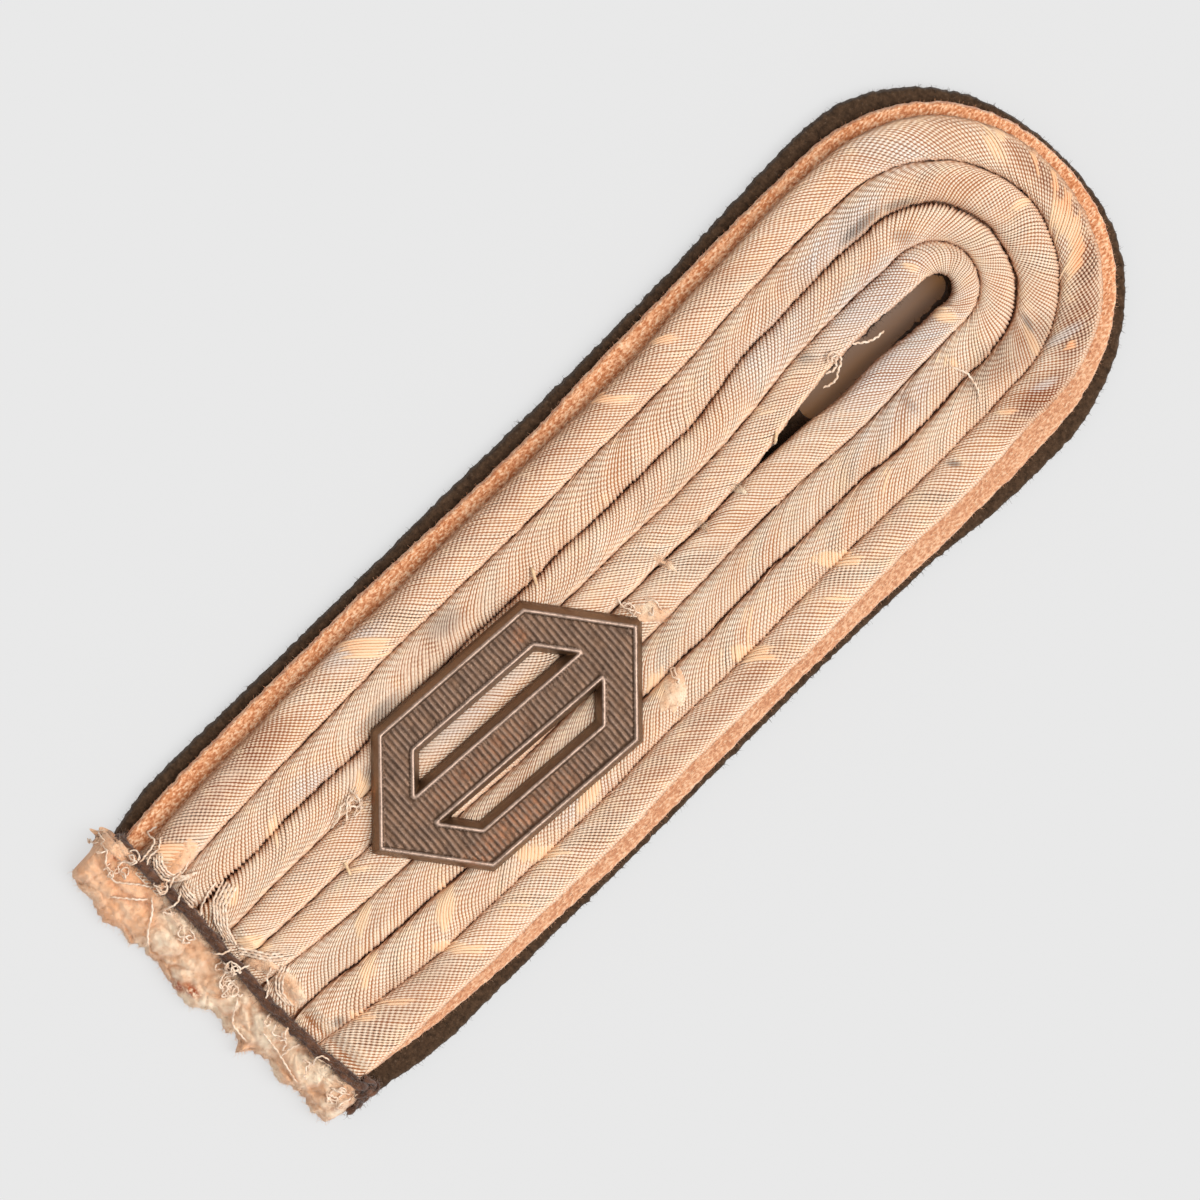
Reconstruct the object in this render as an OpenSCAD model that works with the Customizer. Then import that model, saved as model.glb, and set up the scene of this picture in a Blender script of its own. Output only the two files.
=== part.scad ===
// Shoulder board lying flat, face up. +Y runs to the round buttonhole end, +X to the right,
// +Z out of the face. The origin is under the middle of the board, on the surface it lies on.
// Sizes are in millimetres.

/* [Board] */
// Whole length, from the tips of the frayed end to the round end
board_l = 124; // [112:1:136]
// Thickness of the wool base
base_t = 1.8; // [1.2:0.1:2.6]
// How far the wool base shows outside the underlay beside the buttonhole
base_edge = 1.7; // [1.2:0.1:2.4]
// Thickness of the coloured underlay
underlay_t = 1.6; // [1.2:0.1:2.4]
// How far the underlay shows outside the braid, as piping
underlay_edge = 2; // [1.4:0.1:2.6]
// Gap between layers that lie on each other
layer_gap = 0.05; // [0.03:0.01:0.1]

/* [Braids] */
// Width of one rib, two of which make a braid
rib_w = 4.15; // [3.8:0.05:4.4]
// Height of a rib over the underlay
rib_h = 2.6; // [2:0.1:3.2]
// Gap between braids that lie side by side
braid_gap = 0.12; // [0.08:0.02:0.3]

/* [Buttonhole] */
// Length of the opening between the innermost ribs
slit_l = 27; // [22:1:30]
// Width of the opening between the innermost ribs
slit_w = 2.8; // [2:0.1:3.6]
// Length of the slit cut in the two cloths
cloth_slit_l = 19.5; // [16:0.5:20]
// How far each cloth's slit edge shows inside the layer over it
slit_lip = 0.14; // [0.05:0.01:0.2]

/* [Metal device] */
// Length between the two pointed ends, over the rims
device_l = 34.7; // [31:0.1:38]
// Width over the rims of the long sides
device_w = 18; // [17:0.5:20]
// Length of the two straight long sides
device_side = 19.5; // [18:0.5:21]
// Width of each band of the ring, over its rims
band_w = 3.7; // [3.4:0.1:3.9]
// Width of the central bar, over its rims
bar_w = 3.7; // [3.4:0.1:3.9]
// Thickness of the metal below the ribbed fields
plate_t = 1.5; // [1.2:0.1:2]
// Lean of the side walls out of upright, in degrees
draft = 20; // [10:1:22]
// Width of the raised rims
rim_w = 0.45; // [0.35:0.05:0.6]
// Height of the raised rims over the fields
rim_h = 0.32; // [0.25:0.01:0.45]
// Spacing of the fine ribs that cross the fields
crossrib_pitch = 0.6; // [0.5:0.05:0.8]
// Height of the fine ribs over the fields
crossrib_h = 0.2; // [0.1:0.02:0.24]
// Distance of the device's middle from the cut ends of the braids
device_from_end = 36.7; // [33:0.1:40]
// Distance of the device's middle from the board's middle line
device_aside = 1.5; // [0:0.1:2]
// Turn of the device from the board's length, in degrees clockwise
device_tilt = 3.6; // [0:0.2:6]

/* [Prongs] */
// Thickness of the two flat prongs that hold the device
prong_t = 0.3; // [0.25:0.05:0.4]
// Width of a prong
prong_w = 2; // [1.5:0.1:2.5]
// Length of the prong's end bent flat under the base
prong_leg = 6; // [4:0.5:8]
// Distance of each prong from the device's pointed end
prong_inset = 4.2; // [4:0.1:4.8]
// Clearance round a prong where it passes through the layers
prong_gap = 0.1; // [0.08:0.01:0.15]

/* [Sewn end] */
// Width of the lashing cord
cord_w = 1.3; // [1:0.1:1.6]
// Height of the lashing cord
cord_h = 1.05; // [0.8:0.05:1.3]
// Distance of the cord's middle from the cut ends of the braids, where it lies highest
cord_set = 1.3; // [1.2:0.1:1.6]
// How far the cord sags towards the cut ends
cord_sag = 1; // [0.6:0.1:1.2]
// Length of the frayed wadding beyond the cut ends of the braids
fray_l = 5.8; // [5:0.1:6.6]
// Thickness of the frayed wadding
fray_t = 2.7; // [2.3:0.1:3]

/* [Hidden] */

// Steps along a leg, round the loop and across the frayed end
leg_steps = 22;
loop_steps = 20;
fray_steps = 56;
round_fn = 24;

// Ribs on each side of the middle line
rib_count = 4;
// Gap at the middle seam, which lets a prong through
seam_gap = prong_t + 2 * prong_gap;

// Levels from the table upwards
underlay_z = base_t + layer_gap;
braid_z = underlay_z + underlay_t + layer_gap;
device_z = braid_z + rib_h + layer_gap;

// How much each rib's outer edge gives way to the opening, from the innermost edge outwards,
// as shares of half the opening's width
give = [1, 0.6, 0.57, 0.43, 0.3];

// Radii round the loop
braid_r = rib_count * rib_w + give[rib_count] * slit_w / 2;
underlay_r = braid_r + underlay_edge;
base_r = underlay_r + base_edge;

// Outer edges of the four ribs round the loop: angle in degrees from +X, edges in rib widths,
// and half the opening as a share of half its width
LOOP = [
    [0, 0.83, 1.83, 2.86, 3.84, 0.82], [45, 0.87, 1.80, 2.88, 3.98, 1.22],
    [90, 0.96, 1.75, 3.09, 4.00, 1.43], [135, 1.02, 1.98, 3.07, 4.17, 1.22],
    [180, 1.05, 2.05, 3.07, 4.08, 0.82],
];
LOOP_OPEN = 5;

// Edges of the two cloths round the loop: angle, underlay radius and base radius as shares of
// the full radii
LOOP_EDGE = [
    [0, 0.983, 0.994], [20, 0.970, 0.964], [40, 0.981, 0.946], [60, 0.992, 0.950],
    [90, 0.988, 0.925], [110, 0.996, 0.942], [125, 1.005, 0.975], [140, 1.008, 1.000],
    [160, 0.997, 1.022], [180, 0.991, 1.001],
];
LOOP_UNDERLAY = 1;
LOOP_BASE = 2;

// Heights along the board
tip_y = board_l / 2;
loop_y = tip_y - base_r * table_at(LOOP_EDGE, 90, LOOP_BASE);
raw_y = -board_l / 2;
braid_end_y = raw_y + fray_l;
cord_y = braid_end_y + cord_set;
leg_l = loop_y - braid_end_y;
slit_top_y = loop_y + table_at(LOOP, 90, LOOP_OPEN) * slit_w / 2;
device_y = braid_end_y + device_from_end;

// Ribs along the legs: place as a share of the leg from the cut end, middle seam in rib widths
// to the right, outer edges of the four ribs on the left and then on the right in rib widths
// from the seam, and height as a share
LEG = [
    [0.00, -0.23, 0.77, 1.73, 2.53, 3.57, 0.77, 1.86, 2.80, 4.07, 0.38],
    [0.022, -0.23, 0.77, 1.73, 2.53, 3.57, 0.77, 1.86, 2.80, 4.07, 0.44],
    [0.035, -0.21, 0.78, 1.73, 2.56, 3.62, 0.78, 1.85, 2.82, 4.07, 0.86],
    [0.06, -0.17, 0.83, 1.75, 2.69, 3.76, 0.81, 1.84, 2.88, 4.05, 0.97],
    [0.16, -0.06, 0.96, 1.88, 2.94, 3.92, 0.93, 1.98, 3.11, 4.10, 1],
    [0.37, -0.02, 0.97, 1.92, 3.05, 4.00, 1.08, 2.10, 3.19, 4.14, 1],
    [0.54, 0.05, 1.00, 1.94, 3.05, 4.02, 1.08, 2.04, 3.07, 4.05, 1],
    [0.67, 0.06, 0.96, 1.89, 3.06, 4.01, 0.96, 1.98, 3.04, 4.04, 1],
    [0.75, -0.02, 0.91, 1.90, 3.01, 3.96, 1.04, 2.05, 3.09, 4.08, 1],
    [0.79, -0.07, 0.88, 1.90, 2.93, 3.92, 1.05, 2.02, 3.09, 4.10, 1],
    [0.84, -0.07, 0.98, 1.97, 2.98, 3.96, 1.07, 2.00, 3.03, 4.08, 1],
    [0.92, -0.13, 0.97, 1.94, 2.95, 3.94, 1.06, 2.11, 3.05, 4.09, 1],
    [0.97, 0.00, 1.01, 2.05, 3.09, 4.06, 0.86, 1.93, 2.92, 3.87, 1],
    [1.00, 0.02, 1.05, 2.05, 3.07, 4.08, 0.83, 1.83, 2.86, 3.84, 1],
];
SEAM = 1;
LEFT = 1;
RIGHT = 5;
HIGH = 10;

// Opening along its length below the loop's middle: distance as a share of that length, half
// the opening as a share of half its width
OPENING = [[0, 0.82], [0.12, 1.04], [0.32, 0.95], [0.62, 0.82], [0.82, 0.5], [1, 0]];
opening_l = slit_l - (slit_top_y - loop_y);

// More stations where the lashing cord crushes the braids
crushed_places = [0, 0.012, 0.022, 0.03, 0.038];

// Edges of the two cloths along the legs: place as a share of the leg, underlay edge left and
// right and base edge left and right as shares of the full radii
LEG_EDGE = [
    [-0.022, 0.915, 0.852, 0.869, 0.864], [0.00, 0.925, 0.868, 0.888, 0.893],
    [0.022, 0.936, 0.881, 0.917, 0.907], [0.063, 0.952, 0.910, 0.956, 0.946],
    [0.11, 0.967, 0.946, 0.960, 0.970], [0.21, 0.975, 0.978, 0.956, 0.972],
    [0.37, 0.978, 1.007, 0.956, 0.960], [0.52, 0.952, 0.988, 0.951, 0.946],
    [0.62, 0.946, 0.978, 0.946, 0.944], [0.72, 0.978, 0.983, 0.948, 0.946],
    [0.82, 0.988, 0.999, 0.963, 0.960], [0.87, 0.994, 0.999, 0.975, 0.994],
    [0.93, 0.996, 0.999, 0.987, 1.003], [1.00, 0.991, 0.983, 1.001, 0.994],
];
UNDERLAY_LEFT = 1;
UNDERLAY_RIGHT = 2;
BASE_LEFT = 3;
BASE_RIGHT = 4;

// Outline across a rib: place as a share of its width, height as a share
RIB = [[0, 0.42], [0.08, 0.7], [0.26, 0.95], [0.5, 1], [0.74, 0.95], [0.92, 0.7]];
groove_high = 0.5;
foot_inset = 0.12;
// Number of the point at the middle of a braid section's foot
braid_foot = 2 * len(RIB) + 2;

// Tufts of the frayed end from left to right: place as a share of the width, reach as a share
// of the length beyond the braids, height as a share of the wadding's thickness
TUFT = [
    [0.00, 0.66, 0.45], [0.04, 0.82, 0.75], [0.10, 0.88, 0.85], [0.19, 1.00, 1.00],
    [0.26, 0.88, 0.85], [0.33, 0.84, 1.00], [0.40, 0.95, 0.92], [0.48, 1.00, 0.82],
    [0.54, 0.96, 0.92], [0.59, 0.74, 0.84], [0.64, 0.87, 0.95], [0.67, 0.76, 0.90],
    [0.70, 0.97, 1.00], [0.74, 0.72, 0.90], [0.80, 0.74, 1.00], [0.87, 0.79, 0.95],
    [0.94, 0.81, 0.82], [1.00, 0.66, 0.45],
];
// Left and right side of the frayed end, as shares of the base's full radius
fray_left = 0.93;
fray_right = 0.88;
// Top of the wadding beyond the braids: place as a share of the tuft's reach, share of the
// base's level, share of the wadding's thickness
FRAY_TOP = [[0.35, 1, 1], [0.6, 0.9, 0.65], [0.92, 0.1, 0.75], [1, 0, 0.3]];
// Height of the wadding against the cut ends, as a share of its thickness
fray_near = 0.8;
// Where the wadding's underside leaves the table, as a share of its way beyond the base
fray_heel = 0.8;
// Length of the lumps in the wadding, how much finer the second row of lumps is, and their
// share of the thickness
lump_l = 5.3;
lump_finer = 2.3;
lump_share = 0.08;

// How far the base goes on beyond the braids at its lower left and lower right corner, as
// shares of the frayed length
base_drop = [0.02, 0.38];
// Least distance along the edge from a lower corner of a cloth to the next point
corner_clear = 1;

// Route of the cord from left to right: place as a share of its half width, rise from the base
// to the crushed braids as a share, and sag as a share
CORD = [
    [-1, 0, 0], [-1, 0.35, 0], [-0.995, 0.52, 0], [-0.98, 0.68, 0.02], [-0.945, 0.78, 0.05],
    [-0.9, 0.9, 0.08], [-0.84, 1, 0.1], [-0.7, 1, 0.12], [-0.5, 1, 0.2], [-0.3, 1, 0.28],
    [-0.15, 1, 0.45], [0, 1, 0.75], [0.12, 1, 0.95], [0.28, 1, 1], [0.45, 1, 1], [0.6, 1, 0.88],
    [0.75, 1, 0.7], [0.84, 1, 0.6], [0.9, 0.9, 0.52], [0.945, 0.78, 0.46], [0.98, 0.68, 0.42],
    [0.995, 0.52, 0.4], [1, 0.35, 0.4], [1, 0, 0.4],
];
cord_sides = 10;
// Clearance of the cord beside the underlay, where it goes down to the base
cord_gap = 0.12;

function table_at(table, place, column) =
    lookup(place, [for (row = table) [row[0], row[column]]]);

// Share of the leg at a height along the board
function leg_share(y) = (y - braid_end_y) / leg_l;

// Middle seam's distance to the right at a share of the leg
function seam_x(place) = rib_w * table_at(LEG, place, SEAM);

// Half the width of the opening at a share of the leg
function leg_opening(place) = slit_w / 2 * lookup((1 - place) * leg_l / opening_l, OPENING);

// Distance of a rib's edge from the middle seam; side is LEFT or RIGHT
function leg_edge(place, side, edge) =
    edge == 0
        ? max(seam_gap / 2, leg_opening(place))
        : rib_w * table_at(LEG, place, side + edge) + give[edge] * leg_opening(place);

// The same round the loop, as a radius
function loop_radius(angle, edge) =
    let (opening = slit_w / 2 * table_at(LOOP, angle, LOOP_OPEN))
    edge == 0 ? opening : rib_w * table_at(LOOP, angle, edge) + give[edge] * opening;

// Section of a braid of two ribs between three edges, measured outwards from a point
function braid_section(point, out, edges, high) =
    let (
        inner = edges[0], middle = edges[1], outer = edges[2],
        in_w = middle - inner, out_w = outer - middle,
        top = concat(
            [for (p = RIB) [inner + p[0] * in_w, p[1]]],
            [[middle, groove_high]],
            [for (i = [len(RIB) - 1:-1:0]) [outer - RIB[i][0] * out_w, RIB[i][1]]]
        ),
        foot = [[outer - foot_inset * out_w, 0], [middle, 0], [inner + foot_inset * in_w, 0]]
    )
    [for (p = concat(top, foot))
        [point.x + out.x * p[0], point.y + out.y * p[0], braid_z + p[1] * rib_h * high]];

// Places of a leg's stations, from the cut end to the loop
leg_places = concat(crushed_places, [for (i = [1:leg_steps]) i / leg_steps]);

// Sections of one leg, outwards to the left or the right; first is the braid's inner edge
function leg_sections(side, out, first, clear) =
    [for (place = leg_places)
        braid_section([seam_x(place), braid_end_y + place * leg_l], out,
            [for (e = [0:2]) leg_edge(place, side, first + e) + clear[e]],
            table_at(LEG, place, HIGH))];

// Sections of a braid from its left end, round the loop, to its right end
function braid_sections(first, clear) =
    let (
        left = leg_sections(LEFT, [-1, 0], first, clear),
        right = leg_sections(RIGHT, [1, 0], first, clear),
        loop = [for (i = [1:loop_steps - 1]) let (a = 180 - 180 * i / loop_steps)
            braid_section([seam_x(1), loop_y], [cos(a), sin(a)],
                [for (e = [0:2]) loop_radius(a, first + e) + clear[e]], 1)]
    )
    concat(left, loop, [for (i = [len(right) - 1:-1:0]) right[i]]);

// Solid through a row of sections with the same number of points, each capped by a fan from
// one of its own points
module swept(sections, fan) {
    n = len(sections[0]);
    last = len(sections) - 1;
    sides = [for (i = [0:last - 1], j = [0:n - 1]) let (k = (j + 1) % n)
        each [[i * n + j, (i + 1) * n + j, (i + 1) * n + k], [i * n + j, (i + 1) * n + k, i * n + k]]];
    turn = [for (j = [1:n - 2]) [fan, (fan + j) % n, (fan + j + 1) % n]];
    caps = concat(
        turn,
        [for (t = turn) [last * n + t[0], last * n + t[2], last * n + t[1]]]
    );
    polyhedron([for (s = sections) each s], concat(sides, caps), convexity = 8);
}

// Rows of LEG_EDGE that lie between a cloth's lower corner and the loop
function leg_rows(corner_y) =
    [for (row = LEG_EDGE) if (row[0] < 1 && row[0] * leg_l > corner_y - braid_end_y + corner_clear) row];

// Outline of one of the cloths: left and right columns of LEG_EDGE, column of LOOP_EDGE, full
// radius, and the heights of its lower corners
function cloth_outline(left, right, column, radius, left_y, right_y) =
    let (left_rows = leg_rows(left_y))
    concat(
        [[radius * table_at(LEG_EDGE, leg_share(right_y), right), right_y]],
        [for (row = leg_rows(right_y)) [radius * row[right], braid_end_y + row[0] * leg_l]],
        [for (i = [0:loop_steps])
            let (a = 180 * i / loop_steps, r = radius * table_at(LOOP_EDGE, a, column))
            [r * cos(a), loop_y + r * sin(a)]],
        [for (i = [len(left_rows) - 1:-1:0])
            [-radius * left_rows[i][left], braid_end_y + left_rows[i][0] * leg_l]],
        [[-radius * table_at(LEG_EDGE, leg_share(left_y), left), left_y]]
    );

module cloth_slit(width) {
    lower = slit_top_y - cloth_slit_l;
    translate([seam_x(1), 0]) {
        translate([-width / 2, lower + width / 2]) square([width, cloth_slit_l - width]);
        translate([0, lower + width / 2]) circle(d = width, $fn = round_fn);
        translate([0, slit_top_y - width / 2]) circle(d = width, $fn = round_fn);
    }
}

// Heights of the two prongs along the board
prong_places = [device_y + device_l / 2 - prong_inset, device_y - device_l / 2 + prong_inset];

module prong_slots() {
    for (y = prong_places)
        translate([seam_x(leg_share(y)), y])
            square([seam_gap, prong_w + 2 * prong_gap], center = true);
}

module base_cloth() color("#3b2a1e") {
    difference() {
        linear_extrude(base_t)
            difference() {
                polygon(cloth_outline(BASE_LEFT, BASE_RIGHT, LOOP_BASE, base_r,
                    braid_end_y - base_drop[0] * fray_l, braid_end_y - base_drop[1] * fray_l));
                cloth_slit(slit_w - 4 * slit_lip);
                prong_slots();
            }
        prong_pockets();
    }
}

// Hollows pressed into the underside by the bent prongs
module prong_pockets() {
    for (y = prong_places)
        translate([seam_x(leg_share(y)) - seam_gap / 2, y - prong_w / 2 - prong_gap, -layer_gap])
            cube([prong_leg + seam_gap, prong_w + 2 * prong_gap, prong_t + prong_gap + 2 * layer_gap]);
}

module color_underlay() color("#d99a72") {
    translate([0, 0, underlay_z])
        linear_extrude(underlay_t)
            difference() {
                polygon(cloth_outline(UNDERLAY_LEFT, UNDERLAY_RIGHT, LOOP_UNDERLAY, underlay_r,
                    braid_end_y, braid_end_y));
                cloth_slit(slit_w - 2 * slit_lip);
                prong_slots();
            }
}

module outer_braid() color("#dcbb9d") {
    swept(braid_sections(2, [braid_gap / 2, 0, 0]), braid_foot);
}

module inner_braid() color("#e2c4a8") {
    swept(braid_sections(0, [0, 0, -braid_gap / 2]), braid_foot);
}

// Outline of the device: its pointed ends and four shoulders, anticlockwise
device_ring = [
    [0, -device_l / 2], [device_w / 2, -device_side / 2], [device_w / 2, device_side / 2],
    [0, device_l / 2], [-device_w / 2, device_side / 2], [-device_w / 2, -device_side / 2],
];

// A convex outline moved inwards by a distance; a negative distance moves it outwards
function inset(outline, distance) =
    [for (i = [0:len(outline) - 1])
        let (
            n = len(outline),
            a = outline[(i + n - 1) % n], b = outline[i], c = outline[(i + 1) % n],
            u = (b - a) / norm(b - a), v = (c - b) / norm(c - b),
            bisector = [-u.y - v.y, u.x + v.x]
        )
        b + distance * 2 * bisector / (bisector * bisector)];

// Opening on the right of the bar, over the rims; the left one is its mirror image
device_opening =
    let (
        inner = inset(device_ring, band_w),
        slope = (inner[2].y - inner[3].y) / inner[2].x,
        shoulder = inner[3].y + slope * bar_w / 2
    )
    [[bar_w / 2, -shoulder], inner[1], inner[2], [bar_w / 2, shoulder]];

function mirrored(outline) = [for (i = [len(outline) - 1:-1:0]) [-outline[i].x, outline[i].y]];

device_openings = [device_opening, mirrored(device_opening)];

// Block whose walls lean from one outline at its foot to another at its top
module leaning_block(foot, top, low, height) {
    n = len(foot);
    polyhedron(
        concat([for (p = foot) [p.x, p.y, low]], [for (p = top) [p.x, p.y, low + height]]),
        concat(
            [[for (i = [0:n - 1]) i]],
            [[for (i = [n - 1:-1:0]) n + i]],
            [for (i = [0:n - 1]) let (k = (i + 1) % n) [i, n + i, n + k, k]]
        )
    );
}

// Flat field of the device between its rims
module device_field() {
    difference() {
        polygon(inset(device_ring, rim_w));
        for (opening = device_openings) polygon(inset(opening, -rim_w));
    }
}

module device_plate() {
    lean = tan(draft) * plate_t;
    difference() {
        leaning_block(inset(device_ring, -lean), device_ring, 0, plate_t);
        for (opening = device_openings)
            leaning_block(
                inset(opening, lean + tan(draft) * layer_gap),
                inset(opening, -tan(draft) * layer_gap),
                -layer_gap, plate_t + 2 * layer_gap
            );
    }
}

module device_rims() {
    linear_extrude(rim_h)
        difference() {
            polygon(device_ring);
            polygon(inset(device_ring, rim_w));
        }
    for (opening = device_openings)
        linear_extrude(rim_h)
            difference() {
                polygon(inset(opening, -rim_w));
                polygon(opening);
            }
}

module device_crossribs() {
    rows = floor((device_l / 2 - band_w / 2) / crossrib_pitch);
    linear_extrude(crossrib_h)
        intersection() {
            device_field();
            for (i = [-rows:rows])
                translate([-device_w / 2, i * crossrib_pitch - crossrib_pitch / 4])
                    square([device_w, crossrib_pitch / 2]);
        }
}

// Two prongs: upright through the board, then bent flat under it
module device_prongs() {
    for (y = prong_places)
        translate([seam_x(leg_share(y)) - prong_t / 2, y - prong_w / 2, prong_gap]) {
            cube([prong_t, prong_w, device_z + plate_t / 2 - prong_gap]);
            cube([prong_leg, prong_w, prong_t]);
        }
}

module metal_device() color("#6f5a4b") {
    union() {
        translate([device_aside, device_y, device_z])
            rotate([0, 0, -device_tilt]) {
                device_plate();
                translate([0, 0, plate_t]) device_rims();
                translate([0, 0, plate_t]) device_crossribs();
            }
        device_prongs();
    }
}

// Level of the crushed braids under the cord, and of the cord's middle on them
crushed_z = braid_z + rib_h * table_at(LEG, leg_share(cord_y), HIGH);
cord_z = crushed_z + layer_gap + cord_h / 2;

// Half the cord's width on one side of the board, just outside the underlay's edge; column is
// that edge's column in LEG_EDGE
function cord_half(column) =
    underlay_r * table_at(LEG_EDGE, leg_share(cord_y), column) + cord_h / 2 + cord_gap;

cord_route = [for (row = CORD) [
    row[0] * cord_half(row[0] < 0 ? UNDERLAY_LEFT : UNDERLAY_RIGHT),
    cord_y - cord_sag * row[2],
    underlay_z + (cord_z - underlay_z) * row[1]
]];

module binding_cord() color("#3a2c24") {
    last = len(cord_route) - 1;
    swept([for (i = [0:last])
        let (
            along = cord_route[min(last, i + 1)] - cord_route[max(0, i - 1)],
            up = [-along.z, 0, along.x] / norm([along.x, along.z])
        )
        [for (j = [0:cord_sides - 1]) let (a = 360 * j / cord_sides)
            cord_route[i] + up * sin(a) * cord_h / 2 + [0, cos(a) * cord_w / 2, 0]]
    ], 0);
}

// Section of the frayed end at a share of its width: against the cut ends of the braids and the
// underlay, over the lower end of the base, and down to the table
function fray_section(share) =
    let (
        left = -fray_left * base_r, right = fray_right * base_r,
        x = left + (right - left) * share,
        near_y = braid_end_y - layer_gap,
        step_y = braid_end_y - base_drop[1] * fray_l - layer_gap,
        reach = (fray_l - layer_gap) * table_at(TUFT, share, 1),
        run = step_y - (near_y - reach),
        lump = sin(360 * x / lump_l) + sin(360 * lump_finer * x / lump_l),
        thick = fray_t * table_at(TUFT, share, 2) * (1 + lump_share * lump)
    )
    concat(
        [[x, near_y, underlay_z], [x, near_y, min(crushed_z, underlay_z + fray_near * thick)]],
        [for (row = FRAY_TOP) [x, near_y - row[0] * reach,
            layer_gap + row[1] * (underlay_z - layer_gap) + row[2] * thick]],
        [[x, step_y - fray_heel * run, layer_gap], [x, step_y, layer_gap], [x, step_y, underlay_z]]
    );

module frayed_ends() color("#e0b78c") {
    swept([for (i = [0:fray_steps]) fray_section(i / fray_steps)], len(FRAY_TOP) + 3);
}

base_cloth();
color_underlay();
outer_braid();
inner_braid();
metal_device();
binding_cord();
frayed_ends();
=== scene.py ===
"""Looks of the shoulder board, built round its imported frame.

+Y runs to the round buttonhole end, +X to the right and +Z out of the face. Lengths in the
values, tables and functions are millimetres. A mesh is brought to metres when it is made.
"""
import math

import bpy
import numpy as np
from mathutils import Matrix, Vector, noise
from mathutils.bvhtree import BVHTree
from mathutils.geometry import delaunay_2d_cdt


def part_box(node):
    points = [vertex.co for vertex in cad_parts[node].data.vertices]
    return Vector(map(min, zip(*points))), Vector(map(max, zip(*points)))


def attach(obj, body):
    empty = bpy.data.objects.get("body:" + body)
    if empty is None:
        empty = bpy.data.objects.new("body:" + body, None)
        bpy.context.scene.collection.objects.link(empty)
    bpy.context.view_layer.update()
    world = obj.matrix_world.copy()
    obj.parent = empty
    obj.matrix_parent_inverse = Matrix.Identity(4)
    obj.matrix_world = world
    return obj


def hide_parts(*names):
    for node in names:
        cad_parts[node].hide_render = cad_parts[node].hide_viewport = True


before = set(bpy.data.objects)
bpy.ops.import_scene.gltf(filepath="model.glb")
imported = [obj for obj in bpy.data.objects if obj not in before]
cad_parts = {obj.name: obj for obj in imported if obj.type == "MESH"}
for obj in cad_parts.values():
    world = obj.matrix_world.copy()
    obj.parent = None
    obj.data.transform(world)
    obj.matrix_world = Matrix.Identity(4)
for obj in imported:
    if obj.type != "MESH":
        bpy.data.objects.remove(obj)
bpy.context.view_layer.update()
MM = 0.001
# Without a seed, the vectors of the wadding's noise differ from run to run
noise.seed_set(8)


def box_mm(node):
    """Low and high corner of a node's box."""
    low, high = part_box(node)
    return np.array(low) / MM, np.array(high) / MM


# Levels and ends of the braids, from the frame
BRAID_LOW, BRAID_HIGH = box_mm("inner_braid")
BRAID_Z = BRAID_LOW[2]
RIB_H = BRAID_HIGH[2] - BRAID_LOW[2]
END_Y = BRAID_LOW[1]

# Sizes of the braids, as the frame's solids have them
RIB_W = 4.15
SLIT_W = 2.8
SEAM_GAP = 0.1
BRAID_GAP = 0.12
# Distance between the threads of the two braids
GROOVE = 0.13
# How far the threads of the outermost rib stand out past its solid
FULLER = 0.3
# How far ribs of one braid press into each other
PRESS = 0.05
# Share of the opening's half width that each edge is pushed out by, from the opening outwards
GIVE = [1, 0.6, 0.57, 0.43, 0.3]
# Round the loop: angle from +X, outer edges of the four ribs in rib widths, opening share
LOOP = np.array([
    [0, 0.83, 1.83, 2.86, 3.84, 0.82], [45, 0.87, 1.80, 2.88, 3.98, 1.22],
    [90, 0.96, 1.75, 3.09, 4.00, 1.43], [135, 1.02, 1.98, 3.07, 4.17, 1.22],
    [180, 1.05, 2.05, 3.07, 4.08, 0.82],
])
LOOP_OPEN = 5
# Along a leg: share from the cut end, seam, four edges left, four edges right, height share
LEG = np.array([
    [0.00, -0.23, 0.77, 1.73, 2.53, 3.57, 0.77, 1.86, 2.80, 4.07, 0.38],
    [0.022, -0.23, 0.77, 1.73, 2.53, 3.57, 0.77, 1.86, 2.80, 4.07, 0.44],
    [0.035, -0.21, 0.78, 1.73, 2.56, 3.62, 0.78, 1.85, 2.82, 4.07, 0.86],
    [0.06, -0.17, 0.83, 1.75, 2.69, 3.76, 0.81, 1.84, 2.88, 4.05, 0.97],
    [0.16, -0.06, 0.96, 1.88, 2.94, 3.92, 0.93, 1.98, 3.11, 4.10, 1],
    [0.37, -0.02, 0.97, 1.92, 3.05, 4.00, 1.08, 2.10, 3.19, 4.14, 1],
    [0.54, 0.05, 1.00, 1.94, 3.05, 4.02, 1.08, 2.04, 3.07, 4.05, 1],
    [0.67, 0.06, 0.96, 1.89, 3.06, 4.01, 0.96, 1.98, 3.04, 4.04, 1],
    [0.75, -0.02, 0.91, 1.90, 3.01, 3.96, 1.04, 2.05, 3.09, 4.08, 1],
    [0.79, -0.07, 0.88, 1.90, 2.93, 3.92, 1.05, 2.02, 3.09, 4.10, 1],
    [0.84, -0.07, 0.98, 1.97, 2.98, 3.96, 1.07, 2.00, 3.03, 4.08, 1],
    [0.92, -0.13, 0.97, 1.94, 2.95, 3.94, 1.06, 2.11, 3.05, 4.09, 1],
    [0.97, 0.00, 1.01, 2.05, 3.09, 4.06, 0.86, 1.93, 2.92, 3.87, 1],
    [1.00, 0.02, 1.05, 2.05, 3.07, 4.08, 0.83, 1.83, 2.86, 3.84, 1],
])
# Its columns: seam, the ones before the left and the right edges, height
SEAM, LEFT, RIGHT, HIGH = 1, 1, 5, 10
# Opening below the loop's middle: share of its length, half width as a share
OPENING = np.array([[0, 0.82], [0.12, 1.04], [0.32, 0.95], [0.62, 0.82], [0.82, 0.5], [1, 0]])
OPENING_L = 25.0
# Height share at which a rib's rounded top starts
RIB_FOOT = 0.42

# Threads wrapped round the ribs
THREAD_R = 0.175
THREAD_PITCH = 0.3
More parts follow.
